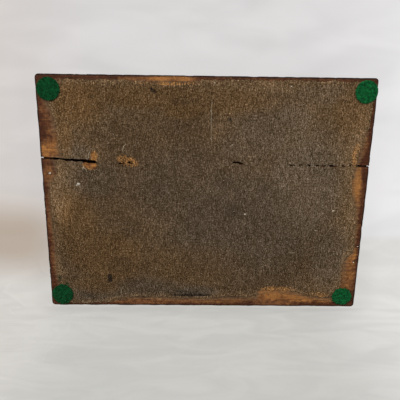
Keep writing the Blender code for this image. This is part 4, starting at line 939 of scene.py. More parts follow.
def coarse_cloth():
    """Plain weave: warp threads along Y and weft along X, uneven in thickness and tone, over broad stains."""
    finish = Finish("coarse cloth")
    x, y, _ = split_axes(finish)
    wobble = finish.noise(120.0, 2.0)
    pace = math.tau / (0.95 * MM)
    stray = finish.times(wobble, 7.0)
    warp, weft = (finish.math("SINE", finish.add(finish.times(axis, pace), stray)) for axis in (x, y))
    weave = finish.times(warp, weft)
    warp_tone = finish.noise(1300.0, 2.0, 0.5, finish.stretched(1.0, 0.22, 1.0))
    weft_tone = finish.noise(1000.0, 2.0, 0.5, finish.stretched(0.20, 1.0, 1.0))
    grain = finish.noise(1000.0, 2.0, 0.6, finish.stretched(1.0, 0.72, 1.0))
    cloud = finish.noise(60.0, 4.0, 0.6)
    drift = finish.noise(17.0, 2.0, 0.5)
    tone = finish.add(finish.times(warp_tone, 0.62), finish.times(weft_tone, 0.20))
    tone = finish.add(tone, finish.times(grain, 0.98))
    tone = finish.add(tone, finish.times(cloud, 0.14))
    paleness = finish.add(finish.attribute("pale"), finish.less(drift, 0.5))
    colour = finish.mix(finish.attribute("grey"), CLOTH_BROWN, (0.064, 0.0475, 0.0290))
    colour = finish.mix(finish.attribute("warm"), colour, (0.082, 0.0440, 0.0145))
    thread = finish.spread(tone, 0.84, 1.12)
    hue = finish.mix(thread, (1.13, 1.0, 0.78), (0.96, 1.0, 1.22))
    colour = finish.node("VectorMath", {0: colour, 1: hue}, operation="MULTIPLY")
    colour = finish.tint(colour, finish.math("MULTIPLY_ADD", paleness, 0.62, 1.0))
    worn = finish.add(finish.attribute("worn"), finish.less(grain, 0.5))
    worn = finish.add(worn, finish.less(cloud, 0.5))
    colour = finish.mix(finish.spread(worn, 0.40, 1.40, 0.0, 0.80), colour, WORN_LINT)
    patchy = finish.add(grain, finish.times(cloud, 1.6))
    bared = finish.add(finish.attribute("bared"), finish.less(patchy, 1.3))
    colour = finish.mix(finish.spread(bared, 0.25, 1.05, 0.0, 0.85), colour, (0.215, 0.100, 0.0300))
    stain = finish.add(finish.attribute("stain"), finish.times(finish.less(cloud, 0.5), 0.5))
    colour = finish.mix(finish.spread(stain, 0.05, 1.0, 0.0, 0.85), colour, (0.010, 0.0075, 0.0055))
    contrast = finish.math("POWER", finish.math("DIVIDE", tone, 0.972), CLOTH_CONTRAST)
    colour = finish.tint(colour, contrast)
    colour = finish.tint(colour, finish.spread(weave, -1.0, 1.0, 0.82, 1.14))
    finish.bump(finish.add(finish.times(weave, 0.5), tone), 0.16 * MM, 0.9)
    return finish.set(Base_Color=colour, Roughness=0.95, Specular_IOR_Level=0.12)


def make_cloth(material):
    """Both patches as one mesh, which a Solidify modifier then gives its thickness."""
    parts, area = [], 0
    for grid, rows in zip(cloth_patches(), (FRONT_ROWS, BACK_ROWS)):
        x, y = grid[..., 0], grid[..., 1]
        row_share, column_share = crowded(rows)[:, None], np.linspace(0, 1, CLOTH_COLUMNS)[None, :]
        near_side = np.minimum(column_share, 1 - column_share) * WIDTH
        near_row = (row_share if rows == FRONT_ROWS else 1 - row_share) * DEPTH / 2
        lift = smooth_step(np.minimum(near_side, near_row), 3.0 * MM, 0.0)
        points = np.stack([x, y, cloth_height(x, y, lift)], axis=-1).reshape(-1, 3)
        quads = grid_quads(rows, CLOTH_COLUMNS)
        across, down = points[quads[:, 2]] - points[quads[:, 0]], points[quads[:, 3]] - points[quads[:, 1]]
        area += np.abs(np.cross(across[:, :2], down[:, :2])).sum() / 2
        parts.append((points, quads))
    mesh = mesh_of("worn_cloth", *joined(parts))
    closed_up(mesh, 0.004 * MM)
    colour_cloth(mesh)
    obj = piece("worn_cloth", mesh, material, "box")
    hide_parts("base_cloth")
    thick = obj.modifiers.new("thickness", "SOLIDIFY")
    thick.thickness = (CLOTH_HIGH_Z - CLOTH_LOW_Z) * 0.7
    thick.offset = 0
    low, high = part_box("base_cloth")
    flat = (high.x - low.x, high.y - low.y)
    area = min(area, flat[0] * flat[1])
    cut = (flat[0] / MM, flat[1] / MM, area * 1e4)
    print("cloth", len(mesh.polygons), "faces, cut to %.0f x %.0f mm, %.0f cm2" % cut)


cloth_finish = coarse_cloth()
make_cloth(cloth_finish)

# %% [markdown]
# Felt is a mat of fibres, so a felt disc has no hard edge. Each disc is a turned profile with a slightly
# ragged outline and a lumpy face, and a few hundred short fibres stand off it. A fibre is a thin bent tube
# of three sides that tapers to a point at both ends.

# %% Fibres and threads
def strands(starts, ways, bends, radius, steps=4, sides=3):
    """Tubes of three sides. Along one, the place is its start, plus its way, plus its bend squared."""
    share = np.linspace(0, 1, steps)[None, :, None]
    line = starts[:, None] + ways[:, None] * share + bends[:, None] * share * share
    thickness = (radius * np.sqrt(np.clip(1 - (2 * share - 1) ** 2, 0.0004, 1)))[..., None]
    forward = ways / np.linalg.norm(ways, axis=1, keepdims=True)
    aside = np.cross(forward, (0.13, 0.21, 0.97))
    aside /= np.linalg.norm(aside, axis=1, keepdims=True)
    up = np.cross(aside, forward)
    turn = np.linspace(0, math.tau, sides, endpoint=False)[None, None, :, None]
    ring = aside[:, None, None] * np.cos(turn) + up[:, None, None] * np.sin(turn)
    points = line[:, :, None] + ring * thickness
    quads = grid_quads(steps, sides, wrap=True)
    count = steps * sides
    faces = quads[None] + np.arange(len(starts))[:, None, None] * count
    caps = np.array([[2, 1, 0, 0], [count - 3, count - 2, count - 1, count - 1]])
    ends = caps[:, [0, 1, 2]][None] + np.arange(len(starts))[:, None, None] * count
    return points.reshape(-1, 3), faces.reshape(-1, 4), ends.reshape(-1, 3)


def strand_mesh(name, points, faces, ends):
    """Quads and end triangles need faces of two sizes, so this mesh is filled from plain lists."""
    mesh = bpy.data.meshes.new(name)
    mesh.from_pydata(points.tolist(), [], faces.tolist() + ends.tolist())
    return mesh


# %% The felt discs
FELT_FACE_Z = 0.30 * MM
FELT_TOP_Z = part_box("felt_foot_front_left")[1].z
# Node, how far its disc has crept in X and Y, its radii in X and Y, and how ragged its outline is, in mm
FELTS = (
    ("felt_foot_front_left", 0.45, -0.10, 10.3, 10.3, 0.10),
    ("felt_foot_front_right", 0.40, -0.45, 10.2, 10.2, 0.12),
    ("felt_foot_back_left", 0.15, -0.80, 10.2, 10.8, 0.30),
    ("felt_foot_back_right", -1.00, -0.40, 9.9, 9.1, 0.45),
)
# From the middle of the face to the middle of the glued side: share of the radius, share of the thickness
DISC_PROFILE = (
    (0.001, 0.0), (0.25, 0.0), (0.5, 0.0), (0.7, 0.0), (0.85, 0.02), (0.94, 0.08), (0.985, 0.25),
    (1.0, 0.5), (0.99, 0.8), (0.95, 1.0), (0.5, 1.0), (0.001, 1.0),
)
FIBRES = 1100


def felt_disc(node, crept_x, crept_y, radius_x, radius_y, ragged, seed, material):
    """A disc: rings from its middle out over the rounded rim to its glued side, closed at both poles."""
    low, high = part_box(node)
    middle = (low + high) / 2 + Vector((crept_x, crept_y, 0))
    share, rise = np.array(DISC_PROFILE).T[:, :, None]
    turn = np.linspace(0, math.tau, 72, endpoint=False)[None, :]
    wander = 1 + ragged / radius_x * swell(np.cos(turn), np.sin(turn), 0.35, seed) * share ** 4
    x = middle.x + radius_x * share * wander * np.cos(turn)
    y = middle.y + radius_y * share * wander * np.sin(turn)
    lumps = 0.10 * MM * swell(x, y, 2.5 * MM, seed + 1) + 0.06 * MM * swell(x, y, 1.2 * MM, seed + 2)
    z = FELT_FACE_Z + rise * (FELT_TOP_Z - FELT_FACE_Z) + lumps * (1 - rise)
    points = np.stack([x, y, z], axis=-1).reshape(-1, 3)
    quads = grid_quads(len(DISC_PROFILE), turn.size, wrap=True)
    mesh = closed_up(mesh_of(node + "_disc", points, quads), 0.02 * MM)
    disc = piece(node + "_disc", mesh, material, "box")
    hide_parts(node)
    disc_fuzz(node, middle, radius_x, radius_y, seed, material)


def disc_fuzz(node, middle, radius_x, radius_y, seed, material):
    """Short fibres over a disc's face and out past its rim."""
    rng = np.random.default_rng(seed)
    turn = rng.uniform(0, math.tau, FIBRES)
    share = np.sqrt(rng.uniform(0.0, 1.0, FIBRES))
    starts = np.stack([
        middle.x + radius_x * share * np.cos(turn), middle.y + radius_y * share * np.sin(turn),
        FELT_FACE_Z + rng.uniform(0.0, 0.25, FIBRES) * MM + smooth_step(share, 0.93, 1.0) * 0.5 * MM,
    ], axis=-1)
    lean = rng.uniform(0, math.tau, FIBRES)
    length = rng.uniform(0.5, 1.5, FIBRES) * MM
    ways = np.c_[length * np.cos(lean), length * np.sin(lean), -rng.uniform(0, 0.22, FIBRES) * MM]
    bends = np.stack([-ways[:, 1], ways[:, 0], 0 * length], axis=-1) * rng.uniform(-0.7, 0.7, FIBRES)[:, None]
    bends[:, 2] = 0.1 * MM
    mesh = strand_mesh(node + "_fuzz", *strands(starts, ways, bends, 0.05 * MM))
    piece(node + "_fuzz", mesh, material, "box")


def green_felt():
    finish = Finish("green felt")
    clumps = finish.noise(420.0, 4.0, 0.65)
    hairs = finish.noise(1500.0, 3.0, 0.6, distortion=1.5)
    flecks = finish.noise(700.0, 2.0, 0.5)
    # Painted light: the felts are tinted darker towards the left of the base and lighter towards the right.
    side = finish.spread(split_axes(finish)[0], -0.13, 0.13, 0.66, 1.16)
    colour = finish.mix(finish.spread(clumps, 0.32, 0.70), (0.0004, 0.022, 0.0050), (0.0030, 0.088, 0.0210))
    colour = finish.tint(colour, finish.spread(hairs, 0.30, 0.70, 0.62, 1.32))
    colour = finish.mix(finish.spread(flecks, 0.60, 0.78, 0.0, 0.55), colour, (0.0300, 0.120, 0.0520))
    colour = finish.tint(colour, side)
    finish.bump(finish.add(clumps, hairs), 0.25 * MM, 0.7)
    return finish.set(
        Base_Color=colour, Roughness=1.0, Specular_IOR_Level=0.1,
        Sheen_Weight=0.06, Sheen_Roughness=0.7, Sheen_Tint=(0.15, 0.55, 0.30),
    )


felt_finish = green_felt()
for seed, (node, *sizes) in enumerate(FELTS):
    felt_disc(node, *(size * MM for size in sizes), 70 + 10 * seed, felt_finish)
print("felt discs:", len(FELTS), "with", FIBRES, "fibres each")

# %% [markdown]
# Torn cloth frays: short ends of thread stick out from its edges over the bare wood. A few longer threads
# have worked loose and lie on the face, paler than the cloth, and crumbs of lint and plaster cling to it.
# The places of those that show in the picture are tables again; the frayed ends and the finest lint are
# scattered by seed.

# %% Frayed ends, loose threads and crumbs
FRAYED_STEP = 3
THREAD_RADIUS = 0.11 * MM
# Start, end, how far the middle strays sideways in millimetres, and radius in millimetres
LOOSE_THREADS = (
    (0.515, 0.071, 0.516, 0.280, 0.9, 0.13), (0.511, 0.129, 0.518, 0.147, 0.9, 0.24),
    (0.151, 0.302, 0.146, 0.333, 0.8, 0.24),
    (0.259, 0.271, 0.249, 0.307, 1.3, 0.24), (0.125, 0.369, 0.138, 0.391, -1.0, 0.24),
    (0.131, 0.366, 0.127, 0.386, 0.8, 0.20),
    (0.238, 0.902, 0.231, 0.947, 1.5, 0.22), (0.770, 0.738, 0.790, 0.736, 0.5, 0.20),
    (0.846, 0.636, 0.856, 0.634, 0.2, 0.20),
    (0.620, 0.567, 0.630, 0.562, 0.4, 0.22), (0.895, 0.549, 0.907, 0.542, 0.3, 0.24),
    (0.148, 0.310, 0.153, 0.340, -0.6, 0.13),
)
# Place, reach and height in millimetres
CRUMBS = (
    (0.111, 0.440, 1.5, 0.35), (0.105, 0.445, 0.9, 0.25),
    (0.025, 0.396, 1.1, 0.30), (0.577, 0.271, 0.5, 0.25),
    (0.744, 0.036, 0.6, 0.25), (0.521, 0.027, 0.5, 0.20),
    (0.990, 0.707, 0.7, 0.30), (0.982, 0.782, 0.7, 0.30),
    (0.900, 0.546, 0.8, 0.20), (0.624, 0.564, 0.7, 0.20),
)
LINT = 260


def pale_thread(name, colour):
    """Worn yarn: pale, with darker soiled stretches."""
    finish = Finish(name)
    soil = finish.noise(420.0, 3.0, 0.6)
    tone = finish.tint(colour, finish.spread(soil, 0.35, 0.70, 1.15, 0.50))
    finish.bump(finish.noise(3000.0, 2.0), 0.05 * MM, 0.6)
    return finish.set(Base_Color=tone, Roughness=0.95, Specular_IOR_Level=0.1)


def frayed_ends(material):
    """Short strands along the torn edge, about two to every 3 mm, pointing away from the cloth's middle."""
    rng = np.random.default_rng(5)
    edge = np.concatenate([
        places(LEFT_FRONT_SHARES), places(LEFT_BACK_SHARES), places(BACK_EDGE_SHARES),
        places(RIGHT_FRONT_SHARES, RIGHT_BACK_SHARES), places(FRONT_EDGE_SHARES),
    ])
    edge = np.repeat(edge, 2, axis=0)[::FRAYED_STEP]
    edge = edge + rng.normal(0, 0.4 * MM, edge.shape)
    count = len(edge)
    starts = np.c_[edge, np.full(count, CLOTH_HIGH_Z) - rng.uniform(0.05, 0.30, count) * MM]
    outward = np.stack([edge[:, 0] / WIDTH, edge[:, 1] / DEPTH], axis=-1)
    upright = np.abs(outward[:, 0]) < np.abs(outward[:, 1])
    lean = np.where(upright, np.sign(outward[:, 1]) * math.pi / 2, np.where(outward[:, 0] > 0, 0, math.pi))
    lean = lean + rng.normal(0, 0.55, count)
    length = rng.uniform(0.8, 2.6, count) * MM
    ways = np.c_[length * np.cos(lean), length * np.sin(lean), rng.uniform(-0.1, 0.1, count) * MM]
    bends = np.c_[-ways[:, 1], ways[:, 0], 0 * length] * rng.uniform(-0.4, 0.4, count)[:, None]
    mesh = strand_mesh("frayed_ends", *strands(starts, ways, bends, THREAD_RADIUS, steps=5))
    piece("frayed_ends", mesh, material, "box")
    return count


def loose_threads(material):
    """Each thread of the table: a bow whose middle strays sideways, lying on the cloth."""
    parts, ends, count = [], [], 0
    for start_x, start_y, end_x, end_y, stray, radius in LOOSE_THREADS:
        start, end = np.array(on_board(start_x, start_y)), np.array(on_board(end_x, end_y))
        way = end - start
        aside = np.array([-way[1], way[0]]) / np.hypot(*way) * 4 * stray * MM
        height = CLOTH_LOW_Z - radius * MM
        starts = np.array([[*start, height]])
        ways, bends = np.array([[*(way + aside), 0]]), np.array([[*-aside, 0]])
        points, faces, caps = strands(starts, ways, bends, radius * MM, steps=16, sides=5)
        parts.append((points, faces))
        ends.append(caps + count)
        count += len(points)
    points, faces = joined(parts)
    mesh = strand_mesh("loose_threads", points, faces, np.concatenate(ends))
    piece("loose_threads", mesh, material, "box")


def crumbs(material):
    """Small lumps: spheres pressed flat, swollen by seed, and the finest lint scattered over the cloth."""
    rng = np.random.default_rng(9)
    x = rng.uniform(-0.45, 0.46, LINT)
    y = rng.uniform(-0.44, 0.44, LINT)
    reach, height = rng.uniform(0.12, 0.30, LINT), rng.uniform(0.08, 0.16, LINT)
    rows = list(CRUMBS) + list(zip(x + 1 / 2, y + 1 / 2, reach, height))
    turn = np.linspace(0, math.tau, 8, endpoint=False)[None, :]
    rise = np.linspace(-math.pi / 2, math.pi / 2, 6)[:, None]
    level = np.cos(rise)
    ball = np.stack([level * np.cos(turn), level * np.sin(turn), np.sin(rise) + 0 * turn], axis=-1)
    ball[[0, -1], :, :2] = ball[[0, -1], :, :2] * 0.01
    parts = []
    for number, (x_share, y_share, reach, height) in enumerate(rows):
        middle = np.array([*on_board(x_share, y_share), CLOTH_LOW_Z])
        lump = 1 + 0.35 * swell(ball[..., 0] + number, ball[..., 1], 1.6, 91)[..., None].clip(-1, 1)
        size = np.array([reach, reach * 0.75, height]) * MM
        parts.append(((middle + ball * lump * size).reshape(-1, 3), grid_quads(6, 8, wrap=True)))
    mesh = closed_up(mesh_of("crumbs", *joined(parts)), 0.003 * MM)
    piece("crumbs", mesh, material, "box")
    return len(rows)


def green_lint(material):
    """Fibres that a felt disc has shed beside it, in three small tufts."""
    rng = np.random.default_rng(12)
    tufts = np.repeat([on_board(0.032, 0.866), on_board(0.056, 0.895), on_board(0.061, 0.920)], 60, axis=0)
    starts = np.c_[tufts + rng.normal(0, 0.9 * MM, tufts.shape), np.full(len(tufts), CLOTH_LOW_Z - 0.1 * MM)]
    lean = rng.uniform(0, math.tau, len(tufts))
    ways = np.c_[np.cos(lean), np.sin(lean), 0 * lean] * rng.uniform(0.8, 2.6, len(tufts))[:, None] * MM
    bends = np.c_[-ways[:, 1], ways[:, 0], 0 * lean] * 0.5
    mesh = strand_mesh("green_lint", *strands(starts, ways, bends, 0.06 * MM))
    piece("green_lint", mesh, material, "box")


frayed = frayed_ends(pale_thread("frayed yarn", (0.150, 0.098, 0.0480)))
loose_threads(pale_thread("pale yarn", (0.440, 0.370, 0.260)))
lumps = crumbs(pale_thread("lint and plaster", (0.620, 0.560, 0.460)))
green_lint(felt_finish)
print("frayed ends:", frayed, "loose threads:", len(LOOSE_THREADS), "crumbs:", lumps)

# %% [markdown]
# The box itself is polished mahogany. Its grain is noise drawn out along one axis, so the same finish shows
# long lines on a face and dots on an end. Broad figure sets the tone, finer ribbons run through it, and
# pores are the thin dark dashes. Where two boards meet at a right angle each has a finish with its own
# grain axis. The lid's clamped ends run up the slope, so the place is turned by the slope's angle first.

# %% Polished mahogany
LEATHER_THICK = 1.0 * MM


def slope_of(low, high, thick):
    """The tilt of a sheet whose box is low to high: rise / run less its thickness, found by repetition."""
    tilt = 0.0
    for _ in range(30):
        tilt = math.atan2(high.z - low.z - thick * math.cos(tilt), high.y - low.y - thick * math.sin(tilt))
    return tilt


SLOPE = slope_of(*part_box("writing_leather"), LEATHER_THICK)
print("slope %.2f degrees" % math.degrees(SLOPE))
DEEP_MAHOGANY = (0.068, 0.0150, 0.0060)
WARM_MAHOGANY = (0.205, 0.0520, 0.0150)
PALE_MAHOGANY = (0.310, 0.1000, 0.0310)
ALONG = {"X": (0.06, 1.0, 1.0), "Y": (1.0, 0.06, 1.0), "slope": (1.0, 0.06, 1.0)}


def mahogany(name, along, shift=0.0, worn=0.0):
    """Polished mahogany, grain along X, Y or the slope. Worn is 0 on faces and more on rubbed edges."""
    finish = Finish(name)
    turned = finish.node("Mapping", {
        "Vector": finish.place, "Location": (shift, shift / 2, shift / 3),
        "Rotation": (-SLOPE if along == "slope" else 0.0, 0.0, 0.0),
    })
    drawn = finish.stretched(*ALONG[along], place=turned)
    figure = finish.noise(26.0, 4.0, 0.55, drawn, 0.7)
    ribbon = finish.noise(190.0, 3.0, 0.55, drawn, 0.3)
    fibre = finish.noise(900.0, 3.0, 0.6, drawn)
    longer = (0.6 * share if share < 1 else 1 for share in ALONG[along])
    pores = finish.noise(1500.0, 1.0, 0.4, finish.stretched(*longer, place=turned))
    soil = finish.noise(16.0, 4.0, 0.6, turned)
    rubs = finish.noise(75.0, 5.0, 0.65, turned)
    colour = finish.mix(finish.spread(figure, 0.30, 0.68), DEEP_MAHOGANY, WARM_MAHOGANY)
    colour = finish.mix(finish.spread(ribbon, 0.50, 0.78, 0.0, 0.55), colour, PALE_MAHOGANY)
    colour = finish.mix(finish.spread(rubs, 0.60 - worn, 0.85 - worn, 0.0, 0.5), colour, PALE_MAHOGANY)
    colour = finish.mix(finish.spread(soil, 0.55, 0.78, 0.0, 0.5), colour, (0.026, 0.0075, 0.0038))
    colour = finish.tint(colour, finish.spread(fibre, 0.30, 0.70, 0.84, 1.14))
    colour = finish.tint(colour, finish.spread(pores, 0.62, 0.72, 1.0, 0.42))
    finish.bump(finish.less(finish.times(fibre, 0.4), finish.spread(pores, 0.60, 0.72)), 0.05 * MM, 0.6)
    smear = finish.noise(45.0, 4.0, 0.6, turned)
    return finish.set(
        Base_Color=colour, Roughness=finish.spread(smear, 0.35, 0.70, 0.30, 0.52),
        Specular_IOR_Level=0.25, Coat_Weight=finish.spread(rubs, 0.45, 0.75, 0.22, 0.05),
        Coat_Roughness=finish.spread(smear, 0.35, 0.70, 0.14, 0.34),
    )


# %% [markdown]
# The boards of the frame have sharp edges. On the real thing every arris is eased, and the polish is rubbed
# paler along it. Three modifiers do this to a frame board without touching its mesh: its loose triangles
# are welded, flat ones are joined, and its edges get a narrow bevel that has a worn finish of its own.
# Where a node has rounds, such as the ledge's pen groove or a hinge's knuckles, a merged copy of its mesh
# stands in for it, because loose triangles can't be shaded smooth.

# %% The boards of the box
BOARDS = (
    ("X", 0.11 * MM, ("front_wall", "back_wall")),
    ("Y", 0.11 * MM, ("left_wall", "right_wall")),
    ("X", 0.45 * MM, ("ledge_board", "lid_board", "paper_rest")),
    ("slope", 0.45 * MM, ("lid_cleat_left", "lid_cleat_right")),
)
ROUND_WORDS = ("ledge_board", "paper_rest", "knob", "hinge", "_pin", "screw", "hoop", "escutcheon")
ROUND_ANGLE = math.radians(35)
FLAT_ANGLE = math.radians(0.5)


def eased(obj, width, worn):
    """Welds, joins flat faces and bevels edges by a width, with the worn finish on the bevel."""
    obj.data.materials.append(worn)
    weld = obj.modifiers.new("weld", "WELD")
    weld.merge_threshold = 0.01 * MM
    flat = obj.modifiers.new("flat", "DECIMATE")
    flat.decimate_type = "DISSOLVE"
    flat.angle_limit = FLAT_ANGLE
    bevel = obj.modifiers.new("eased", "BEVEL")
    bevel.width = width
    bevel.segments = 2
    bevel.limit_method = "ANGLE"
    bevel.angle_limit = math.radians(35)
    bevel.material = len(obj.data.materials) - 1
    bevel.harden_normals = False
    if "fair" in obj.modifiers:
        obj.modifiers.move(0, len(obj.modifiers) - 1)


def dress(name, material):
    """Gives a node its finish. Where its name says that it is round, a smooth copy stands in for it."""
    node = bpy.data.objects[name]
    if any(word in name for word in ROUND_WORDS):
        return smooth_copy(node, material)
    node.data.materials.clear()
    node.data.materials.append(material)
    return node


def smooth_copy(node, material):
    """A node's mesh with its triangles merged and its rounds shaded smooth, riding on the node's own body.
    A modifier weighs the shading by area, so that a flat face beside a round one stays flat."""
    mesh = closed_up(node.data.copy(), 0.002 * MM)
    bm = bmesh.new()
    bm.from_mesh(mesh)
    bmesh.ops.dissolve_limit(bm, angle_limit=FLAT_ANGLE, verts=bm.verts[:], edges=bm.edges[:])
    bm.to_mesh(mesh)
    bm.free()
    mesh.materials.clear()
    mesh.shade_smooth()
    mesh.set_sharp_from_angle(angle=ROUND_ANGLE)
    body = node.parent.name.removeprefix("body:")
    obj = piece(node.name + "_smooth", mesh, material, body, smooth=False)
    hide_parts(node.name)
    fair = obj.modifiers.new("fair", "WEIGHTED_NORMAL")
    fair.keep_sharp = True
    fair.weight = 100
    return obj


for number, (along, width, names) in enumerate(BOARDS):
    worn = mahogany("mahogany edges %d" % number, along, worn=0.16)
    for place, name in enumerate(names):
        board = dress(name, mahogany("mahogany %s" % name, along, 0.37 * number + 0.61 * place))
        eased(board, width, worn)
print("polished boards:", sum(len(row[2]) for row in BOARDS))

# %% [markdown]
# Inside, the box is lined and fitted in a plain pale softwood, which has darkened unevenly and shows ink
# and dust. Boxwood, much finer, makes the drawer's turned knob.

# %% Lining wood and boxwood
def lining_wood(name, along, shift):
    """Softwood: pale early wood with narrow darker lines of late wood, and grey-brown soil."""
    finish = Finish(name)
    moved = finish.node("Mapping", {"Vector": finish.place, "Location": (shift, shift / 2, shift / 3)})
    drawn = finish.stretched(*ALONG[along], place=moved)
    rings = finish.noise(260.0, 2.0, 0.4, drawn, 0.4)
    fibre = finish.noise(1300.0, 3.0, 0.6, drawn)
    soil = finish.noise(30.0, 5.0, 0.65, moved)
    spots = finish.noise(140.0, 2.0, 0.5, moved)
    colour = finish.mix(finish.spread(rings, 0.46, 0.66), (0.430, 0.255, 0.110), (0.250, 0.115, 0.040))
    colour = finish.mix(finish.spread(soil, 0.42, 0.75, 0.0, 0.75), colour, (0.120, 0.066, 0.032))
    colour = finish.mix(finish.spread(spots, 0.72, 0.80, 0.0, 0.85), colour, (0.018, 0.015, 0.020))
    colour = finish.tint(colour, finish.spread(fibre, 0.30, 0.70, 0.86, 1.12))
    finish.bump(finish.add(fibre, rings), 0.06 * MM, 0.6)
    return finish.set(Base_Color=colour, Roughness=0.72, Specular_IOR_Level=0.3)


def boxwood():
    finish = Finish("boxwood")
    fibre = finish.noise(1600.0, 3.0, 0.6, finish.stretched(1.0, 0.12, 1.0))
    handled = finish.noise(260.0, 4.0, 0.6)
    colour = finish.mix(finish.spread(handled, 0.40, 0.72), (0.500, 0.320, 0.120), (0.290, 0.155, 0.050))
    colour = finish.tint(colour, finish.spread(fibre, 0.30, 0.70, 0.88, 1.10))
    finish.bump(fibre, 0.03 * MM, 0.5)
    return finish.set(Base_Color=colour, Roughness=0.38, Coat_Weight=0.3, Coat_Roughness=0.25)


LININGS = (
    ("Y", ("ink_cell_side_left", "ink_cell_side_right", "drawer_side_left", "drawer_side_right")),
    ("X", ("ink_cell_front_left", "ink_cell_front_right", "pigeonhole_shelf", "drawer_front", "drawer_back")),
    ("X", ("drawer_bottom",)),
)
lining_edges = lining_wood("lining wood edges", "X", 0.9)
for number, (along, names) in enumerate(LININGS):
    for place, name in enumerate(names):
        board = dress(name, lining_wood("lining wood " + name, along, 0.29 * number + 0.53 * place))
        eased(board, 0.25 * MM, lining_edges)
dress("drawer_knob", boxwood())

# %% [markdown]
# The fittings are brass that was last polished long ago: bright where hands reach, brown in patches
# elsewhere, with a film of fine scratches. The bolt is steel. The inkwells are thick moulded glass, whose
# faint waves show that it was pressed.

# %% Metal and glass
def brass(name="brass", tarnish=0.04):
    finish = Finish(name)
    cloud = finish.noise(85.0, 5.0, 0.65)
    spots = finish.noise(480.0, 3.0, 0.6)
    fine = finish.noise(2200.0, 2.0, 0.6, finish.stretched(1.0, 0.15, 1.0))
    film = finish.add(finish.times(cloud, 0.75), finish.times(spots, 0.25))
    browned = finish.spread(film, 0.40 - tarnish, 0.68 - tarnish)
    colour = finish.mix(browned, (0.560, 0.385, 0.155), (0.230, 0.138, 0.055))
    colour = finish.mix(finish.spread(spots, 0.62, 0.74, 0.0, 0.6), colour, (0.120, 0.062, 0.026))
    finish.bump(finish.add(fine, finish.times(spots, 0.5)), 0.02 * MM, 0.5)
    rough = finish.add(finish.spread(film, 0.38, 0.68, 0.20, 0.50), finish.times(fine, 0.08))
    return finish.set(Base_Color=colour, Metallic=1.0, Roughness=rough)


def steel():
    finish = Finish("steel")
    brushed = finish.noise(2500.0, 3.0, 0.6, finish.stretched(0.06, 1.0, 1.0))
    rust = finish.noise(330.0, 4.0, 0.65)
    rusted = finish.spread(rust, 0.56, 0.74, 0.0, 0.8)
    colour = finish.mix(rusted, (0.430, 0.425, 0.415), (0.110, 0.060, 0.034))
    finish.bump(finish.add(brushed, rust), 0.02 * MM, 0.6)
    return finish.set(Base_Color=colour, Metallic=0.95, Roughness=finish.spread(rust, 0.50, 0.74, 0.32, 0.70))


def clear_glass():
    finish = Finish("clear glass")
    wave = finish.noise(120.0, 2.0, 0.5)
    dust = finish.noise(700.0, 4.0, 0.7)
    finish.bump(wave, 0.20 * MM, 0.35)
    return finish.set(
        Base_Color=(0.90, 0.96, 0.93), Transmission_Weight=1.0, IOR=1.5,
        Roughness=finish.spread(dust, 0.50, 0.80, 0.02, 0.30),
    )


old_brass, dull_brass = brass(), brass("dull brass", 0.15)
BRASS_WORDS = ("hinge", "escutcheon", "collar", "cap", "lock_case", "lock_plate", "link_")
for name in frame["nodes"]:
    if "screw" in name or name.endswith("_pin") or name in ("lock_case", "link_hoop"):
        dress(name, dull_brass)
    elif any(word in name for word in BRASS_WORDS):
        dress(name, old_brass)
dress("lock_bolt", steel())

# %% [markdown]
# A turned fitting in the frame has a few dozen sides, which show as corners in a close view. The inkwells'
# glasses, collars and caps are therefore turned again from finer profiles, with the small steps and beads
# that a lathe leaves. A profile is a list of radius and height; turning it is the grid of that profile
# times the angle.

# %% The inkwells
TURNS = 96
NECK_RADIUS = 9.5 * MM
NECK_WALL = 2.5 * MM
NECK_RISE = 4.3 * MM
GLASS_WALL = 3.0 * MM
GLASS_FLOOR = 4.0 * MM
RING_RADIUS = 12.5 * MM
RING_GAP = 0.3 * MM
EAR_RADIUS = 1.6 * MM
KNUCKLE_HALF = 2.0 * MM
EAR_GAP = 0.3 * MM
EAR_WIDTH = 2.5 * MM
BLOCK_EASE = 0.2 * MM
LUG_BITE = 0.9 * MM
EAR_BITE = 1.2 * MM


def turned_grid(profile, centre, turns=TURNS):
    """Points radius * (cos, sin) of the angle, at the profile's heights, round a centre, and their cells."""
    radius, height = np.array(profile, float).T
    turn = np.linspace(0, math.tau, turns, endpoint=False)
    x = centre[0] + radius[:, None] * np.cos(turn)
    y = centre[1] + radius[:, None] * np.sin(turn)
    z = centre[2] + height[:, None] + 0 * turn
    return np.stack([x, y, z], axis=-1).reshape(-1, 3), grid_quads(len(profile), turns, wrap=True)


def rod(start_x, end_x, y, z, radius, turns=32):
    """A short rod along X with slightly eased ends, closed at its poles."""
    ease = radius * 0.12
    profile = [
        (radius * 0.001, start_x), (radius - ease, start_x), (radius, start_x + ease), (radius, end_x - ease),
        (radius - ease, end_x), (radius * 0.001, end_x),
    ]
    points, faces = turned_grid(profile, (0, 0, 0), turns)
    return np.stack([points[:, 2], y + points[:, 0], z + points[:, 1]], axis=-1), faces


def slab(low, high, ease):
    """A block with eased upright edges: a rounded rectangle carried up through four rings."""
    turn = np.radians(np.arange(0, 360, 15) + 7.5)
    half = np.array([(high[0] - low[0]) / 2 - ease, (high[1] - low[1]) / 2 - ease])
    corner = np.stack([np.sign(np.cos(turn)) * half[0], np.sign(np.sin(turn)) * half[1]], axis=-1)
    round_off = np.stack([np.cos(turn), np.sin(turn)], axis=-1) * ease
    middle = np.array([(low[0] + high[0]) / 2, (low[1] + high[1]) / 2])
    rings = ((0.0, low[2]), (1.0, low[2]), (1.0, high[2]), (0.0, high[2]))
    points = []
    for share, z in rings:
        points.append(np.c_[middle + (corner + round_off) * max(share, 0.001), np.full(len(turn), z)])
    return np.concatenate(points), grid_quads(len(rings), len(turn), wrap=True)


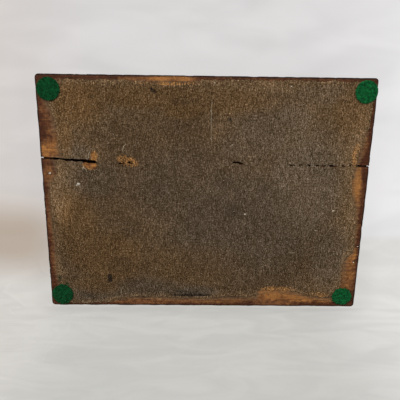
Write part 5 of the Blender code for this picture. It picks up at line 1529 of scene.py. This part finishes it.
def collar_profile(flange, ring, inner, top):
    """From the inner edge out under the flange, over its bead, up the ring with one groove, and in again."""
    return [
        (inner, 0), (flange - 0.3 * MM, 0), (flange, 0.25 * MM), (flange, 0.7 * MM),
        (flange - 0.5 * MM, 1.15 * MM), (flange - 1.5 * MM, 1.2 * MM), (flange - 1.8 * MM, 1.0 * MM),
        (flange - 2.2 * MM, 1.0 * MM), (flange - 2.5 * MM, 1.2 * MM),
        (ring + 0.8 * MM, 1.2 * MM), (ring + 0.2 * MM, 1.4 * MM), (ring, 2.0 * MM),
        (ring, 3.1 * MM), (ring - 0.25 * MM, 3.3 * MM), (ring - 0.25 * MM, 3.6 * MM), (ring, 3.8 * MM),
        (ring, top - 0.3 * MM), (ring - 0.3 * MM, top),
        (inner + 0.3 * MM, top), (inner, top - 0.3 * MM), (inner, 0),
    ]


def cap_profile(radius, top):
    """Up from a hollow seat over a beaded skirt and a low dome with two turned lines and a small button."""
    dome = []
    for degrees in np.linspace(4, 78, 26):
        share = math.cos(math.radians(degrees))
        line = 0.12 * MM if any(abs(share - at) < 0.022 for at in (0.80, 0.52)) else 0
        height = 2.0 * MM + (top - 2.0 * MM - 0.5 * MM) * math.sin(math.radians(degrees))
        dome.append(((radius - 0.2 * MM) * share, height - line))
    return [
        (0.001 * MM, 3.0 * MM), (radius - 2.3 * MM, 3.0 * MM),
        (radius - 2.3 * MM, 0.2 * MM), (radius - 2.1 * MM, 0),
        (radius - 0.3 * MM, 0), (radius, 0.25 * MM), (radius, 0.9 * MM), (radius - 0.25 * MM, 1.1 * MM),
        (radius - 0.25 * MM, 1.3 * MM), (radius, 1.5 * MM), (radius, 1.8 * MM), *dome,
        (2.2 * MM, top - 0.45 * MM), (1.9 * MM, top - 0.15 * MM), (1.2 * MM, top), (0.001 * MM, top),
    ]


def rounded(radius, height, ease, first, last):
    """Part of a circle in a profile: the angle runs from first to last, in degrees, about a middle."""
    turns = [math.radians(degrees) for degrees in np.linspace(first, last, 7)]
    return [(radius + ease * math.cos(turn), height + ease * math.sin(turn)) for turn in turns]


def glass_profile(radius, tall):
    """Up the well's outside, with its rounded foot and shoulder, over the neck's lip and down the inside."""
    soft, lip, shoulder = 2.0 * MM, NECK_WALL / 2, tall - NECK_RISE
    roof, bore = shoulder - GLASS_WALL, radius - GLASS_WALL
    return [
        (0.001 * MM, 0), *rounded(radius - soft, soft, soft, -90, 0),
        *rounded(radius - soft, shoulder - soft, soft, 0, 90),
        (NECK_RADIUS + 0.5 * MM, shoulder), (NECK_RADIUS, shoulder + 0.5 * MM),
        *rounded(NECK_RADIUS - lip, tall - lip, lip, 0, 180), (NECK_RADIUS - NECK_WALL, roof + 0.5 * MM),
        *rounded(bore - soft, roof - soft, soft, 80, 0),
        *rounded(bore - soft, GLASS_FLOOR + soft, soft, 0, -90),
        (0.001 * MM, GLASS_FLOOR),
    ]


def fitting(name, parts, body, node, material):
    mesh = closed_up(mesh_of(name, *joined(parts)), 0.004 * MM)
    mesh.shade_smooth()
    mesh.set_sharp_from_angle(angle=math.radians(40))
    obj = piece(name, mesh, material, body, smooth=False)
    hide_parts(node)


def ink_fittings(side, glass):
    """An inkwell's glass, its collar with a knuckle, and its cap with two ears, from the frame's boxes."""
    foot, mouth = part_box("inkwell_%s_glass" % side)
    middle = ((foot.x + mouth.x) / 2, (foot.y + mouth.y) / 2, foot.z)
    well = turned_grid(glass_profile((mouth.x - foot.x) / 2, mouth.z - foot.z), middle)
    fitting("glass_" + side, [well], "box", "inkwell_%s_glass" % side, glass)
    low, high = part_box("inkwell_%s_collar" % side)
    flange = (high.x - low.x) / 2
    centre = ((low.x + high.x) / 2, low.y + flange, low.z)
    cap_low, cap_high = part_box("inkwell_%s_cap" % side)
    cap_radius = (cap_high.x - cap_low.x) / 2
    axis_y, axis_z = cap_high.y - EAR_RADIUS, cap_low.z + EAR_RADIUS
    ring_top = axis_z - EAR_GAP - low.z
    parts = [
        turned_grid(collar_profile(flange, RING_RADIUS, NECK_RADIUS + RING_GAP, ring_top), centre),
        slab(
            (centre[0] - KNUCKLE_HALF, centre[1] + RING_RADIUS - LUG_BITE, low.z + MM),
            (centre[0] + KNUCKLE_HALF, axis_y + EAR_RADIUS, low.z + ring_top), BLOCK_EASE,
        ),
        rod(centre[0] - KNUCKLE_HALF, centre[0] + KNUCKLE_HALF, axis_y, axis_z, EAR_RADIUS),
    ]
    fitting("collar_" + side, parts, "box", "inkwell_%s_collar" % side, old_brass)
    top = cap_high.z - axis_z
    parts = [turned_grid(cap_profile(cap_radius, top), (centre[0], cap_low.y + cap_radius, axis_z))]
    ear_y = cap_low.y + 2 * cap_radius - EAR_BITE
    for sign in (-1, 1):
        inner = centre[0] + sign * (KNUCKLE_HALF + EAR_GAP)
        outer = centre[0] + sign * (KNUCKLE_HALF + EAR_GAP + EAR_WIDTH)
        start, end = sorted((inner, outer))
        parts.append(rod(start, end, axis_y, axis_z, EAR_RADIUS))
        parts.append(slab((start, ear_y, axis_z), (end, axis_y, axis_z + MM), BLOCK_EASE))
    fitting("cap_" + side, parts, side + "_cap", "inkwell_%s_cap" % side, old_brass)


well_glass = clear_glass()
for side in ("left", "right"):
    ink_fittings(side, well_glass)

# %% [markdown]
# The writing surface is leather let into the lid. It is a sheet spanned along X and up the slope, pressed
# flat, with a tooled border: a broad gilt line between two blind ones, sunk a little into the skin. Grid
# lines crowd where the border runs, so that the sunk lines are shapes and not only paint.

# %% The writing leather
BORDER = 9.0 * MM
# How far each tooled line lies from the border's middle, and half its width
TOOLED = ((-1.8 * MM, 0.25 * MM), (0.0, 0.55 * MM), (1.8 * MM, 0.25 * MM))


def ruled(length):
    """Grid lines along a side: every 2 mm, and every 0.12 mm where the tooled border crosses."""
    near = np.arange(BORDER - 3 * MM, BORDER + 3 * MM, 0.12 * MM)
    broad = np.arange(0, length, 2 * MM)
    broad = broad[(broad > BORDER + 4 * MM) & (broad < length - BORDER - 4 * MM)]
    ends = np.array([0, 0.15 * MM, 0.5 * MM, 1.2 * MM, 3 * MM, 4.5 * MM])
    return np.sort(np.concatenate([ends, near, broad, length - near, length - ends]))


def leather_sheet(material):
    """Points corner + u * X + v * slope + h * normal, with h 0 on top and negative in the tooled lines."""
    low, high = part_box("writing_leather")
    width = high.x - low.x
    run = (high.z - low.z - LEATHER_THICK * math.cos(SLOPE)) / math.sin(SLOPE)
    u, v = np.meshgrid(ruled(width), ruled(run))
    inset = np.minimum(np.minimum(u, width - u), np.minimum(v, run - v))
    from_line = inset - BORDER
    tool = np.zeros_like(u)
    for at, half in TOOLED:
        tool = np.maximum(tool, smooth_step(np.abs(from_line - at), half + 0.15 * MM, half - 0.10 * MM))
    rounded = 0.25 * MM * (1 - np.sqrt(np.clip(1 - (1 - np.clip(inset / (0.5 * MM), 0, 1)) ** 2, 0, 1)))
    dip = -0.16 * MM * tool - rounded + 0.03 * MM * (swell(u, v, 30 * MM, 81) - 2).clip(-3, 0)
    up = np.array([0, math.cos(SLOPE), math.sin(SLOPE)])
    normal = np.array([0, -math.sin(SLOPE), math.cos(SLOPE)])
    corner = np.array([low.x, low.y + LEATHER_THICK * math.sin(SLOPE), low.z]) + normal * LEATHER_THICK
    points = corner + u[..., None] * (1, 0, 0) + v[..., None] * up + dip[..., None] * normal
    mesh = mesh_of("leather_sheet", points.reshape(-1, 3), grid_quads(*u.shape))
    hold(mesh, "gilt", np.where(np.abs(from_line) < 0.9 * MM, tool, 0).ravel())
    hold(mesh, "tooled", tool.ravel())
    rest = ((u / width - 0.58) / 0.30) ** 2 + ((v / run - 0.22) / 0.34) ** 2
    hold(mesh, "handled", smooth_step(1.3 - rest, 0.0, 1.2).ravel())
    obj = piece("leather_sheet", mesh, material, "lid")
    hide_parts("writing_leather")
    thick = obj.modifiers.new("thickness", "SOLIDIFY")
    thick.thickness = LEATHER_THICK * 0.7
    thick.offset = -1
    print("leather %.0f x %.0f mm, %d faces" % (width / MM, run / MM, len(mesh.polygons)))


def green_leather():
    """Dyed skin: small pebbles in the bump, cloudy tone, a paler handled patch, scratches and a gilt line."""
    finish = Finish("green leather")
    cells = {"Vector": finish.place, "Scale": 1500.0}
    pebble = finish.node("TexVoronoi", cells, "Distance", feature="SMOOTH_F1")
    crease = finish.noise(260.0, 4.0, 0.65)
    cloud = finish.noise(32.0, 4.0, 0.6)
    scratch = finish.noise(420.0, 2.0, 0.5, finish.stretched(0.09, 1.0, 1.0), 0.8)
    colour = finish.mix(finish.spread(cloud, 0.32, 0.70), (0.0075, 0.0330, 0.0185), (0.0190, 0.0620, 0.0330))
    rubbed = finish.add(finish.attribute("handled"), finish.less(crease, 0.55))
    colour = finish.mix(finish.spread(rubbed, 0.25, 1.25, 0.0, 0.7), colour, (0.0620, 0.0840, 0.0400))
    colour = finish.mix(finish.spread(scratch, 0.70, 0.76, 0.0, 0.5), colour, (0.0900, 0.0950, 0.0520))
    colour = finish.tint(colour, finish.spread(pebble, 0.05, 0.55, 0.72, 1.10))
    colour = finish.mix(finish.times(finish.attribute("tooled"), 0.75), colour, (0.0045, 0.0120, 0.0075))
    kept = finish.spread(finish.noise(380.0, 4.0, 0.7), 0.40, 0.58, 1.0, 0.25)
    gilt = finish.times(finish.attribute("gilt"), kept)
    colour = finish.mix(gilt, colour, (0.520, 0.330, 0.095))
    relief = finish.add(finish.times(pebble, -0.8), finish.times(crease, 0.5))
    finish.bump(relief, 0.10 * MM, 0.7)
    return finish.set(
        Base_Color=colour, Metallic=finish.times(gilt, 0.85),
        Roughness=finish.spread(rubbed, 0.1, 1.1, 0.55, 0.38), Specular_IOR_Level=0.4,
    )


leather_sheet(green_leather())
